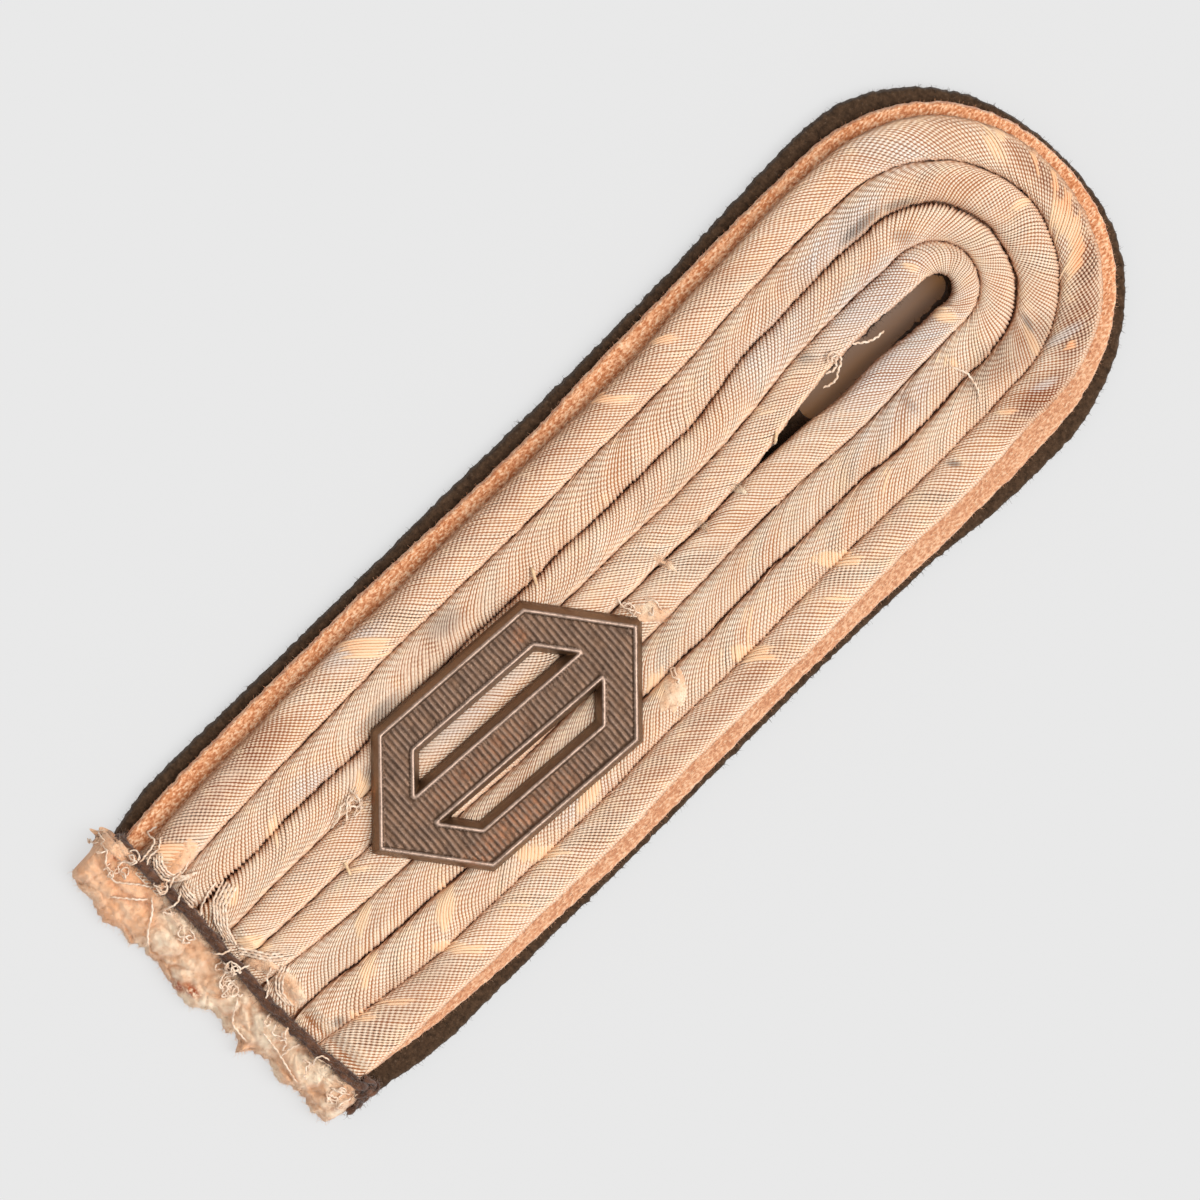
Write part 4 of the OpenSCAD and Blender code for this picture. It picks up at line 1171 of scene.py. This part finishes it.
# Outline of the wadding, from left to right
FRAY_EDGE = np.array([
    (-19.9, -55.3), (-19.6, -56.6), (-19.2, -58.4), (-19.5, -60.3), (-18.8, -60.9), (-17.0, -61.2),
    (-15.2, -61.5), (-13.4, -61.9), (-12.2, -61.4), (-11.0, -61.4), (-9.8, -61.5), (-8.4, -60.9),
    (-7.0, -61.0), (-5.4, -61.2), (-3.6, -61.6), (-2.0, -61.9), (-0.9, -61.9), (-0.2, -61.3),
    (0.5, -61.0), (0.9, -60.4), (2.4, -60.5), (3.2, -61.1), (3.7, -61.2), (4.1, -60.5),
    (5.1, -60.6), (5.8, -61.9), (6.4, -60.9), (6.9, -60.4), (8.6, -60.1), (10.0, -60.5),
    (11.2, -60.7), (12.4, -60.2), (14.2, -60.2), (15.6, -60.7), (16.6, -60.3), (17.4, -60.2), (18.0, -58.6),
])
FRAY_LEFT, FRAY_RIGHT = FRAY_EDGE[0, 0], FRAY_EDGE[-1, 0]
# Height of the wadding from the cord to its edge: share of the way, level
FRAY_HEIGHT = np.array([[0, 4.6], [0.14, 4.75], [0.38, 4.5], [0.62, 3.9], [0.85, 2.8], [0.96, 1.7], [1, 0.7]])
# Line under the cord where the wadding starts: place across the board, place along it
FRAY_START = np.array([
    [-20, -55.4], [-15, -54.9], [-9, -55.0], [-2.7, -55.25], [2.2, -55.7], [8, -55.8],
    [13, -55.5], [18, -55.2],
])
# Rusty stains
STAIN = [
    (-2.2, -60.5, 1.4, 0.8, 10, 1.0), (-3.4, -61.2, 1.2, 0.6, 0, 1.0), (-17.4, -56.2, 1.0, 0.5, 30, 0.8),
    (-12.2, -57.6, 1.4, 0.4, 20, 0.4), (7.8, -57.6, 1.2, 0.6, 0, 0.3), (16.6, -58.6, 1.0, 0.5, 40, 0.5),
]
# Place along the board that the wadding's folds are counted from
FOLD_Y = 56


def fray_level(x, share):
    """Top of the wadding at places across the board and shares of the way out, and how deep in a fold, which
    the wadding's colour darkens as painted shade.
    """
    reach = FOLD_Y + np.interp(x, FRAY_EDGE[:, 0], FRAY_EDGE[:, 1])
    level, fold = np.zeros(np.shape(x)), np.zeros(np.shape(x))
    for i in np.ndindex(np.shape(x)):
        place = Vector((x[i] / 4.2, share[i] * -reach[i] / 3.0, 4.0))
        place += 0.5 * noise.noise_vector(place * 1.4)
        near = noise.voronoi(place)[0]
        fold[i] = math.exp(-((near[1] - near[0]) / 0.1) ** 2) * (0.5 + 0.5 * noise.noise(place * 1.1))
        rise = 0.6 * noise.fractal(place * 1.5, 0.6, 2.1, 5) + 0.06 * noise.fractal(place * 12, 0.8, 2.1, 3)
        level[i] = rise - 0.6 * fold[i] - 0.6 * near[0] ** 2
    return level, fold


def fray_shell():
    """Lumpy body of the wadding, closed, with a lip over the braids' cut ends."""
    xs = np.arange(FRAY_LEFT + 0.05, FRAY_RIGHT - 0.05, 0.14)
    shares = np.concatenate([np.linspace(0, 0.85, 30), np.linspace(0.88, 1, 8)])
    x, share = np.meshgrid(xs, shares, indexing="ij")
    near = np.interp(x, *FRAY_START.T)
    ends = np.clip(np.minimum(x - FRAY_LEFT, FRAY_RIGHT - x) / 1.3, 0.02, 1) ** 0.5
    edge = np.interp(x, FRAY_EDGE[:, 0], FRAY_EDGE[:, 1]) + 0.14 * ripple(101, 1.1)(x)
    y = near + (edge - near) * share
    lump, fold = fray_level(x, share)
    inner = np.clip(share / 0.12, 0, 1) * np.clip((1 - share) / 0.1, 0.15, 1)
    top = np.interp(share, FRAY_HEIGHT[:, 0], FRAY_HEIGHT[:, 1]) + lump * inner
    y = y + 0.12 * lump * (share > 0.5)
    floor = 0.04 + 0 * xs
    top = floor[:, None] + (top - floor[:, None]) * (0.35 + 0.65 * ends)
    base_end = np.interp(xs, [-20, 20], [-56.4, -58.4])
    lip = END_Y - 0.06
    under = [
        (edge[:, -1] + 0.25, floor), (np.minimum(base_end - 0.7, edge[:, -1] + 0.5), floor),
        (np.minimum(base_end - 0.15, edge[:, -1] + 0.7), 0 * xs + 1.9), (0 * xs + lip, 0 * xs + 1.9),
        (0 * xs + lip, np.minimum(4.52, top[:, 4] - 0.1)), (near[:, 0], np.minimum(4.56, top[:, 0] - 0.04)),
    ]
    under = [np.column_stack([xs, a, b]) for a, b in under]
    rings = np.concatenate([np.stack([x, y, top], -1), np.stack(under, 1)], 1)
    count, sides = rings.shape[:2]
    number, quads = ring_faces(count, sides)
    caps = np.stack([number[0], number[-1, ::-1]])
    points = rings.reshape(-1, 3)
    # Painted shadow of the cord on the wadding beside it, put in with the folds' painted shade
    shade = np.clip(1 - share / 0.3, 0, 1) * np.clip(0.6 + 0.5 * ripple(102, 3)(x), 0, 1)
    fold = np.maximum(fold, shade)
    shaded_folds = np.concatenate([fold, np.zeros((count, sides - fold.shape[1]))], 1).ravel()
    peach = np.clip((-9 - points[:, 0]) / 4, 0, 1)
    return Shell(points, [quads, caps], {"fold": shaded_folds, "stain": spots(STAIN, points), "peach": peach})


def wadding_material():
    """Raw cotton: cream pads, peach to the left, with painted shade in the folds and along the cord."""
    p = Paint("wadding", Roughness=0.95, Sheen_Weight=0.35, Sheen_Roughness=0.5, Specular_IOR_Level=0.1)
    color = p.mix(p.fit(p.noise(3.4, 3), 0.4, 0.6), paint(240, 188, 146), paint(255, 230, 199))
    color = p.mix(p.fit(p.noise(1.2, 4, 0.65), 0.5, 0.75, 0, 0.7), color, paint(255, 230, 200))
    color = p.mix(p.fit(p.noise(0.7, 4, 0.7), 0.5, 0.3, 0, 0.5), color, paint(214, 154, 110))
    color = p.mix(p.part("peach", 0.55), color, paint(248, 176, 122))
    # Painted shade in the folds and beside the cord
    color = p.mix(p.part("fold", 0.65), color, paint(192, 134, 94))
    stain = p.math("MULTIPLY", p.value("stain"), p.fit(p.noise(0.4, 3), 0.36, 0.5))
    color = p.mix(stain, color, paint(172, 82, 36))
    woolly = p.bump(p.noise(0.4, 5, 0.75), 0.26, 0.9)
    return p.finish(Base_Color=color, Normal=p.bump(p.noise(0.09, 2), 0.05, 0.7, woolly))


def fray_hairs(shell, count, seed):
    """Short cotton hairs that stand out of the wadding, most of them at its edge."""
    rng = np.random.default_rng(seed)
    tops = shell.points[(shell.points[:, 2] > 0.5) & (shell.points[:, 1] < -56.0)]
    edge = np.interp(tops[:, 0], FRAY_EDGE[:, 0], FRAY_EDGE[:, 1])
    weight = 0.25 + 2.5 * (tops[:, 1] < edge + 0.8)
    roots = tops[rng.choice(len(tops), count, p=weight / weight.sum())]
    heads = rng.normal(0, 0.7, (count, 3)) + [0, -0.5, 0.35]
    return fibres(roots - [0, 0, 0.03], heads, 0.42, 0.02, rng, curl=0.8, steps=4)


WADDING = wadding_material()
fray = fray_shell()
ground.append(fray)
make_piece("frayed_wadding", [fray], [WADDING], ["frayed_ends"])
make_piece("wadding_hairs", [fray_hairs(fray, 2200, 71)], [WADDING])


# Route of the cord from left to right: place as a share of its half width, rise as a share, sag
CORD = np.array([
    (-1.0, 0.08, 0), (-1.0, 0.35, 0), (-0.995, 0.52, 0), (-0.98, 0.68, 0.02), (-0.945, 0.78, 0.05),
    (-0.9, 0.9, 0.08), (-0.84, 1, 0.1), (-0.7, 1, 0.12), (-0.5, 1, 0.2), (-0.3, 1, 0.28),
    (-0.15, 1, 0.45), (0, 1, 0.75), (0.12, 1, 0.95), (0.28, 1, 1), (0.45, 1, 1), (0.6, 1, 0.88),
    (0.75, 1, 0.7), (0.84, 1, 0.6), (0.9, 0.9, 0.52), (0.945, 0.78, 0.46), (0.98, 0.68, 0.42),
    (0.995, 0.52, 0.4), (1.0, 0.35, 0.4), (1.0, 0.08, 0.4),
])
CORD_LOW, CORD_HIGH = box_mm("binding_cord")
CORD_R = 0.5
# How far from the braids' cut end the cord's middle starts, on the left
CORD_IN = 1.42
# Short ends of the cord tied round its right side: points along each
KNOT = [
    [(16.4, -54.3, 4.6), (17.6, -54.0, 3.6), (18.2, -54.9, 2.6), (18.1, -56.2, 2.2), (17.7, -57.4, 2.1)],
    [(17.0, -56.2, 4.0), (17.9, -55.4, 4.0), (18.3, -54.3, 3.2), (18.0, -53.7, 2.3)],
    [(16.8, -55.6, 4.4), (17.9, -56.0, 3.7), (18.3, -57.0, 2.6), (18.0, -58.1, 2.2)],
]


def evenly(points, spacing, rounds):
    """A line through points in even steps, its corners smoothed."""
    points = np.array(points, float)
    run = run_along(points)
    even = np.linspace(0, run[-1], max(6, int(run[-1] / spacing)))
    line = np.stack([np.interp(even, run, c) for c in points.T], -1)
    for _ in range(rounds):
        line[1:-1] = (line[:-2] + 2 * line[1:-1] + line[2:]) / 4
    return line


def plies(line, count, twist, spread, radius, seed):
    """Tubes twisted round a centre line."""
    rng = np.random.default_rng(seed)
    along = unit(np.gradient(line, axis=0))
    side = unit(np.cross(along, [0, 0, 1.0]) + [0, 1e-6, 0])
    up = np.cross(side, along)
    run = run_along(line)
    found = []
    for i in range(count):
        angle = 2 * math.pi * (run / twist + i / count) + 0.4 * ripple(seed + i, 4)(run)
        offset = np.cos(angle)[:, None] * side * spread * 1.15 + np.sin(angle)[:, None] * up * spread * 0.85
        thick = radius * (1 + 0.22 * ripple(seed + 9 + i, 1.2)(run) + 0.09 * rng.normal(0, 1, len(run)))
        thick[[0, -1]] *= 0.5
        found.append(tubes((line + offset)[None], up[None], thick[None], 9))
    return found


def wool_hairs(line, radius, count, length, seed):
    """Hairs all round a thick line."""
    rng = np.random.default_rng(seed)
    away = unit(rng.normal(0, 1, (count, 3)))
    roots = line[rng.integers(0, len(line), count)] + away * radius * [0.6, 1, 1]
    return fibres(roots, away + rng.normal(0, 0.7, away.shape), length, 0.026, rng, curl=0.8)


def cord_material():
    """Dark twisted wool, paler on its hairs."""
    p = Paint("dark_cord", Roughness=0.95, Sheen_Weight=0.3, Sheen_Roughness=0.5, Specular_IOR_Level=0.1)
    color = p.mix(p.fit(p.noise(0.8, 4), 0.3, 0.7), paint(60, 38, 27), paint(112, 76, 56))
    color = p.mix(p.fit(p.value("tone"), 0.4, 1, 0, 0.8), color, paint(158, 124, 100))
    return p.finish(Base_Color=color, Normal=p.bump(p.noise(0.22, 4, 0.7), 0.14, 0.9))


def cord_shells():
    """Plies and hairs of the cord and of its tied ends."""
    half = np.where(CORD[:, 0] < 0, -CORD_LOW[0] - CORD_R, CORD_HIGH[0] - CORD_R)
    high = CORD_HIGH[2] - CORD_R
    low = CORD_LOW[2] + 0.02
    x, rise, sag = CORD.T
    route = np.column_stack([x * half, END_Y + CORD_IN - sag, low + (high - low) * rise])
    line = evenly(route, 0.22, 3)
    line[:, 1] += 0.13 * ripple(299, 3.5)(line[:, 0])
    found = plies(line, count=4, twist=8, spread=0.24, radius=0.34, seed=300)
    found.append(wool_hairs(line, radius=0.52, count=4000, length=0.5, seed=301))
    for i, points in enumerate(KNOT):
        end = evenly(points, 0.2, 4)
        found += plies(end, count=2, twist=4, spread=0.16, radius=0.24, seed=310 + 20 * i)
        found.append(wool_hairs(end, radius=0.34, count=220, length=0.4, seed=311 + 20 * i))
    return found


cord = cord_shells()
ground += cord[:4]
make_piece("lashing_yarn", cord, [cord_material()], ["binding_cord"])


def level_over(shells):
    """Finds the highest point of several shells at places on the board."""
    points, faces, start = [], [], 0
    for shell in shells:
        points += shell.points.tolist()
        for group in shell.faces:
            faces += (np.asarray(group) + start).tolist()
        start += len(shell.points)
    tree = BVHTree.FromPolygons(points, faces)

    def level(places):
        hits = [tree.ray_cast(Vector((x, y, 30)), Vector((0, 0, -1)))[0] for x, y in places]
        return np.array([0 if hit is None else hit.z for hit in hits])

    return level


level_at = level_over(ground)


# Step along a loose thread, length of its crimps and of its twist
LOOSE_STEP = 0.12
CRIMP_L = 0.62
TWIST_L = 0.33


def loose_thread(points, radius, lift, crimp, seed, least=0.0):
    """A crimped thread along points as the camera sees them, over whatever is below, bowed in the middle."""
    line = evenly(np.array(points) - [SEEN, 0], LOOSE_STEP, 5)
    rng = np.random.default_rng(seed)
    along = unit(np.gradient(line, axis=0))
    side = np.stack([-along[:, 1], along[:, 0]], -1)
    run = LOOSE_STEP * np.arange(len(line))
    wave = 2 * math.pi * run / CRIMP_L + rng.uniform(0, 6)
    line = line + side * (crimp * np.sin(wave))[:, None]
    below = level_at(line)
    padded = np.pad(below, 4, "edge")
    level = np.max([padded[i:i + len(line)] for i in range(9)], 0)
    for _ in range(6):
        level[1:-1] = (level[:-2] + 2 * level[1:-1] + level[2:]) / 4
    bow = lift * np.sin(math.pi * np.linspace(0, 1, len(line))) * (1 + 0.5 * ripple(seed, 1.5)(run))
    z = np.maximum(np.maximum(level, below), least) + 0.6 * radius + bow + crimp * np.cos(wave)
    path = np.column_stack([line, z])
    ends = np.clip(0.5 + np.arange(len(run)) / 3, 0, 1)
    thick = radius * (1 + 0.16 * np.sin(2 * math.pi * run / TWIST_L)) * ends * ends[::-1]
    up = np.broadcast_to([0.0, 0.0, 1.0], path.shape)
    return tubes(path[None], up[None], thick[None], 5)


def tangle(x, y, size, steps, rng):
    """Points of a thread that wanders about a place."""
    place, way, found = np.array([x, y]), rng.uniform(0, 6.3), []
    for _ in range(steps):
        found.append(place)
        way += rng.normal(0, 1.0)
        home = np.array([x, y]) - place
        place = place + 0.55 * np.array([math.cos(way), math.sin(way)]) + 0.35 * home / size
    return found


# Loose threads of the braids: thickness, height of the bow, then points along each
LOOSE = [
    (0.14, 0.3, [(7.1, 38.8), (9.0, 39.6), (10.9, 39.2), (12.0, 38.4)]),
    (0.14, 0.3, [(-16.0, -51.2), (-16.3, -52.4), (-15.3, -52.2), (-15.0, -53.2), (-14.9, -54.9)]),
    (0.14, 0.3, [(-15.2, -51.6), (-14.5, -52.6), (-14.6, -53.8), (-14.2, -54.6)]),
    (0.14, 0.3, [(-11.5, -51.3), (-11.0, -52.4), (-11.3, -53.6), (-10.9, -54.6)]),
    (0.14, 0.2, [(-8.0, -50.9), (-7.8, -52.2), (-7.2, -53.6), (-6.6, -54.4)]),
    (0.14, 0.4, [(-10.0, -53.8), (-9.3, -55.0), (-9.5, -56.2), (-9.7, -57.0)]),
    (0.15, 0.3, [(-18.2, -56.1), (-17.0, -57.6), (-15.2, -58.2), (-13.2, -56.6), (-11.8, -55.6)]),
    (0.15, 0.3, [(-14.2, -59.5), (-13.2, -58.7), (-11.9, -57.5), (-11.4, -57.0)]),
    (0.15, 0.3, [(-11.3, -56.6), (-10.2, -57.6), (-9.0, -59.4), (-7.8, -60.4)]),
    (0.14, 0.4, [(-2.0, -54.4), (-2.3, -55.5), (-3.1, -56.3)]),
    (0.14, 0.5, [(0.5, -54.4), (-0.2, -55.8), (-0.7, -56.6), (-0.3, -57.8)]),
    (0.15, 0.3, [(2.1, -52.7), (2.6, -54.0), (3.5, -54.6), (4.1, -55.6)]),
    (0.15, 0.3, [(2.2, -57.6), (3.0, -59.0), (4.0, -60.0), (6.3, -60.2)]),
    (0.15, 0.2, [(6.6, -58.3), (9.0, -58.6), (11.0, -59.1), (12.8, -59.5)]),
    (0.14, 0.3, [(10.0, -56.5), (9.6, -57.4), (9.7, -58.7)]),
    (0.14, 0.3, [(5.6, -56.3), (5.7, -57.6), (6.4, -57.5), (6.1, -56.8)]),
    (0.15, 0.3, [(15.4, -57.4), (16.6, -57.0), (17.3, -56.5)]),
    (0.14, 0.5, [(-4.9, -34.0), (-4.2, -35.2), (-4.7, -36.4), (-3.8, -37.6), (-3.6, -38.8)]),
    (0.14, 0.6, [(-5.3, -34.6), (-3.8, -34.6), (-3.2, -35.2), (-4.2, -36.0)]),
    (0.14, 0.5, [(-4.5, -34.2), (-4.8, -35.4), (-4.0, -36.2), (-2.8, -37.4), (-3.2, -38.6)]),
    (0.12, 0.3, [(0.2, -1.7), (1.2, -2.0), (2.2, -1.4), (3.2, -1.1)]),
    (0.12, 0.3, [(2.2, 0.2), (3.0, 0.9), (4.2, 0.6)]),
]
# Loose threads that hang over the buttonhole, at the level of the ribs
HANGING = [
    [(-1.4, 33.3), (-0.9, 33.9), (-0.3, 34.7), (0.0, 35.6), (0.0, 36.6)],
    [(-1.4, 31.6), (-0.8, 31.3), (-0.4, 30.4), (0.1, 29.7), (0.1, 29.0), (-0.2, 28.1)],
    [(-1.6, 31.0), (-0.9, 30.7), (-0.7, 30.0), (-1.2, 29.3)],
]
# Threads that sag side by side round the pads of the cut ends: number, step from one to the next, points
BANDS = [
    (5, (0.32, 0.12), [(-7.5, -50.2), (-6.8, -52.4), (-5.1, -53.8), (-3.1, -54.4)]),
    (4, (0.05, 0.31), [(-10.2, -52.4), (-10.9, -53.8), (-12.0, -54.5), (-13.4, -54.3), (-14.2, -53.5)]),
    (4, (-0.1, 0.3), [(-9.9, -54.1), (-8.9, -54.4), (-7.7, -54.4)]),
    (3, (0.27, 0.18), [(2.9, -52.0), (3.4, -53.4), (4.4, -54.4), (6.2, -54.6)]),
    (3, (-0.27, 0.18), [(2.5, -51.4), (1.6, -52.6), (0.2, -53.5), (-1.0, -54.4)]),
]
# Pads of wadding that come out between the threads: x, y, half length, half width, angle, height
PADS = [
    (1.0, 14.8, 0.8, 0.45, 20, 0.14), (1.1, 9.6, 0.75, 0.25, 8, 0.1), (1.0, 4.2, 1.2, 0.4, 10, 0.12),
    (3.7, -0.2, 2.0, 0.95, 38, 0.13), (11.1, -4.4, 2.7, 1.15, -52, 0.08),
    (-17.6, -55.7, 2.4, 0.85, 8, 0.3), (-11.6, -55.2, 0.9, 0.35, 70, 0.12), (13.6, -56.6, 2.6, 0.7, 4, 0.25),
    (-7.6, -56.4, 2.2, 0.7, -10, 0.25),
    (-12.2, -51.5, 2.7, 1.25, 96, 0.25), (1.1, -53.6, 1.7, 0.9, 30, 0.3), (5.3, -53.2, 2.1, 1.1, -15, 0.3),
]
# Hairs on each pad
PAD_HAIRS = 130
# Places where threads have come loose in a tangle: x, y, size, number
TANGLES = [
    (1.0, -57.4, 1.3, 7), (-3.8, -35.4, 0.9, 4), (-15.4, -57.2, 1.4, 4), (-1.0, -56.6, 0.8, 3),
    (16.8, -57.6, 1.0, 6), (-9.6, -55.9, 0.8, 3), (8.2, -57.2, 1.2, 3), (-18.8, -56.4, 0.8, 3),
    (1.7, -1.8, 0.6, 2), (-1.6, 31.0, 0.6, 2), (12.6, -57.0, 1.2, 3), (-6.4, -56.8, 1.2, 3),
    (-0.4, -55.8, 0.7, 4), (-11.6, -55.0, 0.6, 3), (-16.2, -55.2, 0.9, 3), (3.4, 0.4, 0.8, 1),
    (10.2, -3.0, 0.8, 1),
]
# Level that the hanging threads stay above
HANG_Z = 5.0
# Share of the thickness in the table that the loose threads have
LOOSE_THIN = 0.72
# Tan stitches that hold the ribs together: from and to
STITCHES = [
    [(-8.2, -5.7), (-6.6, -6.6)], [(-0.5, 21.6), (0.8, 20.2)], [(-0.2, -40.2), (1.2, -40.7)],
]


def yarn_material(name, dark, light):
    """Plain yarn between two colours."""
    p = Paint(name, Roughness=0.75, Sheen_Weight=0.3, Specular_IOR_Level=0.3)
    color = p.mix(p.fit(p.noise(0.5, 3), 0.35, 0.65), dark, light)
    return p.finish(Base_Color=color, Normal=p.bump(p.noise(0.1, 2), 0.03, 0.6))


def loose_shells():
    """All loose, hanging, sagging and tangled threads."""
    rng = np.random.default_rng(500)
    found = []
    for i, (radius, lift, points) in enumerate(LOOSE):
        found.append(loose_thread(points, LOOSE_THIN * radius, lift, crimp=0.035, seed=501 + i))
    for i, points in enumerate(HANGING):
        found.append(loose_thread(points, 0.12, lift=0.3, crimp=0.05, seed=540 + i, least=HANG_Z))
    for i, (count, step, points) in enumerate(BANDS):
        for k in range(count):
            moved = np.array(points) + k * np.array(step)
            found.append(loose_thread(moved, 0.14, lift=0, crimp=0.03, seed=560 + 10 * i + k))
    for x, y, size, count in TANGLES:
        for _ in range(count):
            points = tangle(x, y, size, 9, rng)
            found.append(loose_thread(points, 0.085, lift=0.4, crimp=0.03, seed=rng.integers(1000, 9999)))
    return found


def pad_shell(x, y, length, width, angle, height, seed):
    """A soft lens of wadding on whatever lies below."""
    cos, sin = math.cos(math.radians(angle)), math.sin(math.radians(angle))
    ways = np.linspace(0, 2 * math.pi, 49)[:-1]
    share, way = np.meshgrid(np.linspace(0.04, 1, 15), ways, indexing="ij")
    ragged = 1 + 0.22 * ripple(seed, 0.9, 0.9)(np.cos(way), np.sin(way))
    u, v = length * share * ragged * np.cos(way), width * share * ragged * np.sin(way)
    flat = np.stack([x - SEEN + u * cos - v * sin, y + u * sin + v * cos], -1)
    below = level_at(flat.reshape(-1, 2)).reshape(share.shape)
    lump = np.array([noise.fractal((a * 0.9, b * 0.9, seed), 0.8, 2.1, 4) for a, b in flat.reshape(-1, 2)])
    lump = 1 + 0.6 * lump.reshape(share.shape)
    dome = (height + 0.1) * np.sqrt(1 - share ** 2) * lump - 0.08 * share
    rings, sides = share.shape
    number, quads = ring_faces(rings, sides)
    foot = rings * sides + np.arange(sides)
    wall = np.stack([number[-1], foot, np.roll(foot, -1), np.roll(number[-1], -1)], -1)
    top = np.column_stack([flat.reshape(-1, 2), (below + dome).ravel()])
    low = np.column_stack([flat[-1], below[-1] - 0.3])
    points = np.concatenate([top, low])
    # Nothing goes below the surface that the board lies on
    points[:, 2] = np.maximum(points[:, 2], 0.03)
    values = {"peach": np.clip((-9 - points[:, 0]) / 4, 0, 1)}
    return Shell(points, [quads, wall, number[:1], foot[None, ::-1]], values)


def pad_fibres(pad, seed):
    """Hairs all over a pad, as dense at its middle as at its rim."""
    rng = np.random.default_rng(seed)
    high = pad.points[pad.points[:, 2] > 1]
    roots = high[(len(high) * np.sqrt(rng.uniform(0, 1, PAD_HAIRS))).astype(int)]
    heads = rng.normal(0, 0.7, roots.shape) + [0, 0, 0.2]
    return fibres(roots, heads, 0.55, 0.018, rng, curl=0.9, steps=4)


pads = [pad_shell(*pad, 80 + i) for i, pad in enumerate(PADS)]
pads += [pad_fibres(pad, 100 + i) for i, pad in enumerate(pads)]
make_piece("pulled_wadding", pads, [WADDING])
LOOSE_SILK = yarn_material("loose_silk", paint(212, 174, 142), paint(248, 228, 206))
TAN_COTTON = yarn_material("tan_cotton", paint(206, 166, 124), paint(240, 208, 166))
make_piece("loose_threads", loose_shells(), [LOOSE_SILK])
stitches = [loose_thread(line, 0.17, lift=0.25, crimp=0, seed=700 + i) for i, line in enumerate(STITCHES)]
make_piece("seam_stitches", stitches, [TAN_COTTON])


# Lights, floor and camera
def plain_floor():
    """Pale ground that glows evenly, with a dim brown glow under the buttonhole as painted shade, darker on
    its right side.
    """
    mesh = bpy.data.meshes.new("floor")
    half = 1.5
    corners = [(-half, -half, 0), (half, -half, 0), (half, half, 0), (-half, half, 0)]
    mesh.from_pydata(corners, [], [(0, 1, 2, 3)])
    floor = put("floor", mesh)
    floor.location.z = -0.02 * MM
    p = Paint("floor", Roughness=0.95, Specular_IOR_Level=0.0, Emission_Strength=0.6)
    p.shader.inputs["Base Color"].default_value = (0.155, 0.155, 0.155, 1)
    place = p.add("ShaderNodeMapping", {"Vector": p.where(), "Location": (0, -1.4, 0), "Scale": (60, 40, 1)})
    far = p.add("ShaderNodeVectorMath", {0: place.outputs[0]}, operation="LENGTH").outputs["Value"]
    # Painted shade seen through the buttonhole: a dim brown glow, darker to the right
    painted_slit_shade = p.mix(p.fit(p.across(), 0.2 * MM, 1.2 * MM), (0.225, 0.093, 0.022, 1), (0.11, 0.044, 0.012, 1))
    glow = p.mix(p.fit(far, 0.5, 1.0), painted_slit_shade, (1, 1, 1, 1))
    mesh.materials.append(p.finish(Emission_Color=glow))


def soft_sun(name, toward, strength, angle):
    """A wide sun that shines from a direction."""
    light = bpy.data.lights.new(name, "SUN")
    light.energy = strength
    light.angle = math.radians(angle)
    lamp = put(name, light)
    lamp.rotation_mode = "QUATERNION"
    lamp.rotation_quaternion = Vector(toward).to_track_quat("Z", "Y")


def camera():
    """Camera over the board and a little to its left, turned so that the board runs up to the right.

    Its distance and the width of its field are in millimetres.
    """
    lean = math.radians(8)
    distance = 1500
    field = 122.1
    middle = Vector((-0.84, -3.1, 0)) * MM
    back = Vector((-math.sin(lean), 0, math.cos(lean)))
    up = Vector((-0.71464, 0.69949, 0))
    up = (up - back * up.dot(back)).normalized()
    right = up.cross(back)
    data = bpy.data.cameras.new("camera")
    data.sensor_width = 36
    data.lens = data.sensor_width * distance / field
    data.clip_start, data.clip_end = 0.01, 10
    view = put("camera", data)
    turn = Matrix((right, up, back)).transposed()
    view.matrix_world = Matrix.Translation(middle + back * distance * MM) @ turn.to_4x4()
    bpy.context.scene.camera = view


plain_floor()
soft_sun("key", (0.42, 0.34, 1.0), strength=2.62, angle=44)
world = bpy.data.worlds.new("studio")
world.use_nodes = True
world.node_tree.nodes["Background"].inputs["Color"].default_value = (1, 1, 1, 1)
world.node_tree.nodes["Background"].inputs["Strength"].default_value = 0.65
bpy.context.scene.world = world
bpy.context.scene.view_settings.view_transform = "Standard"
camera()
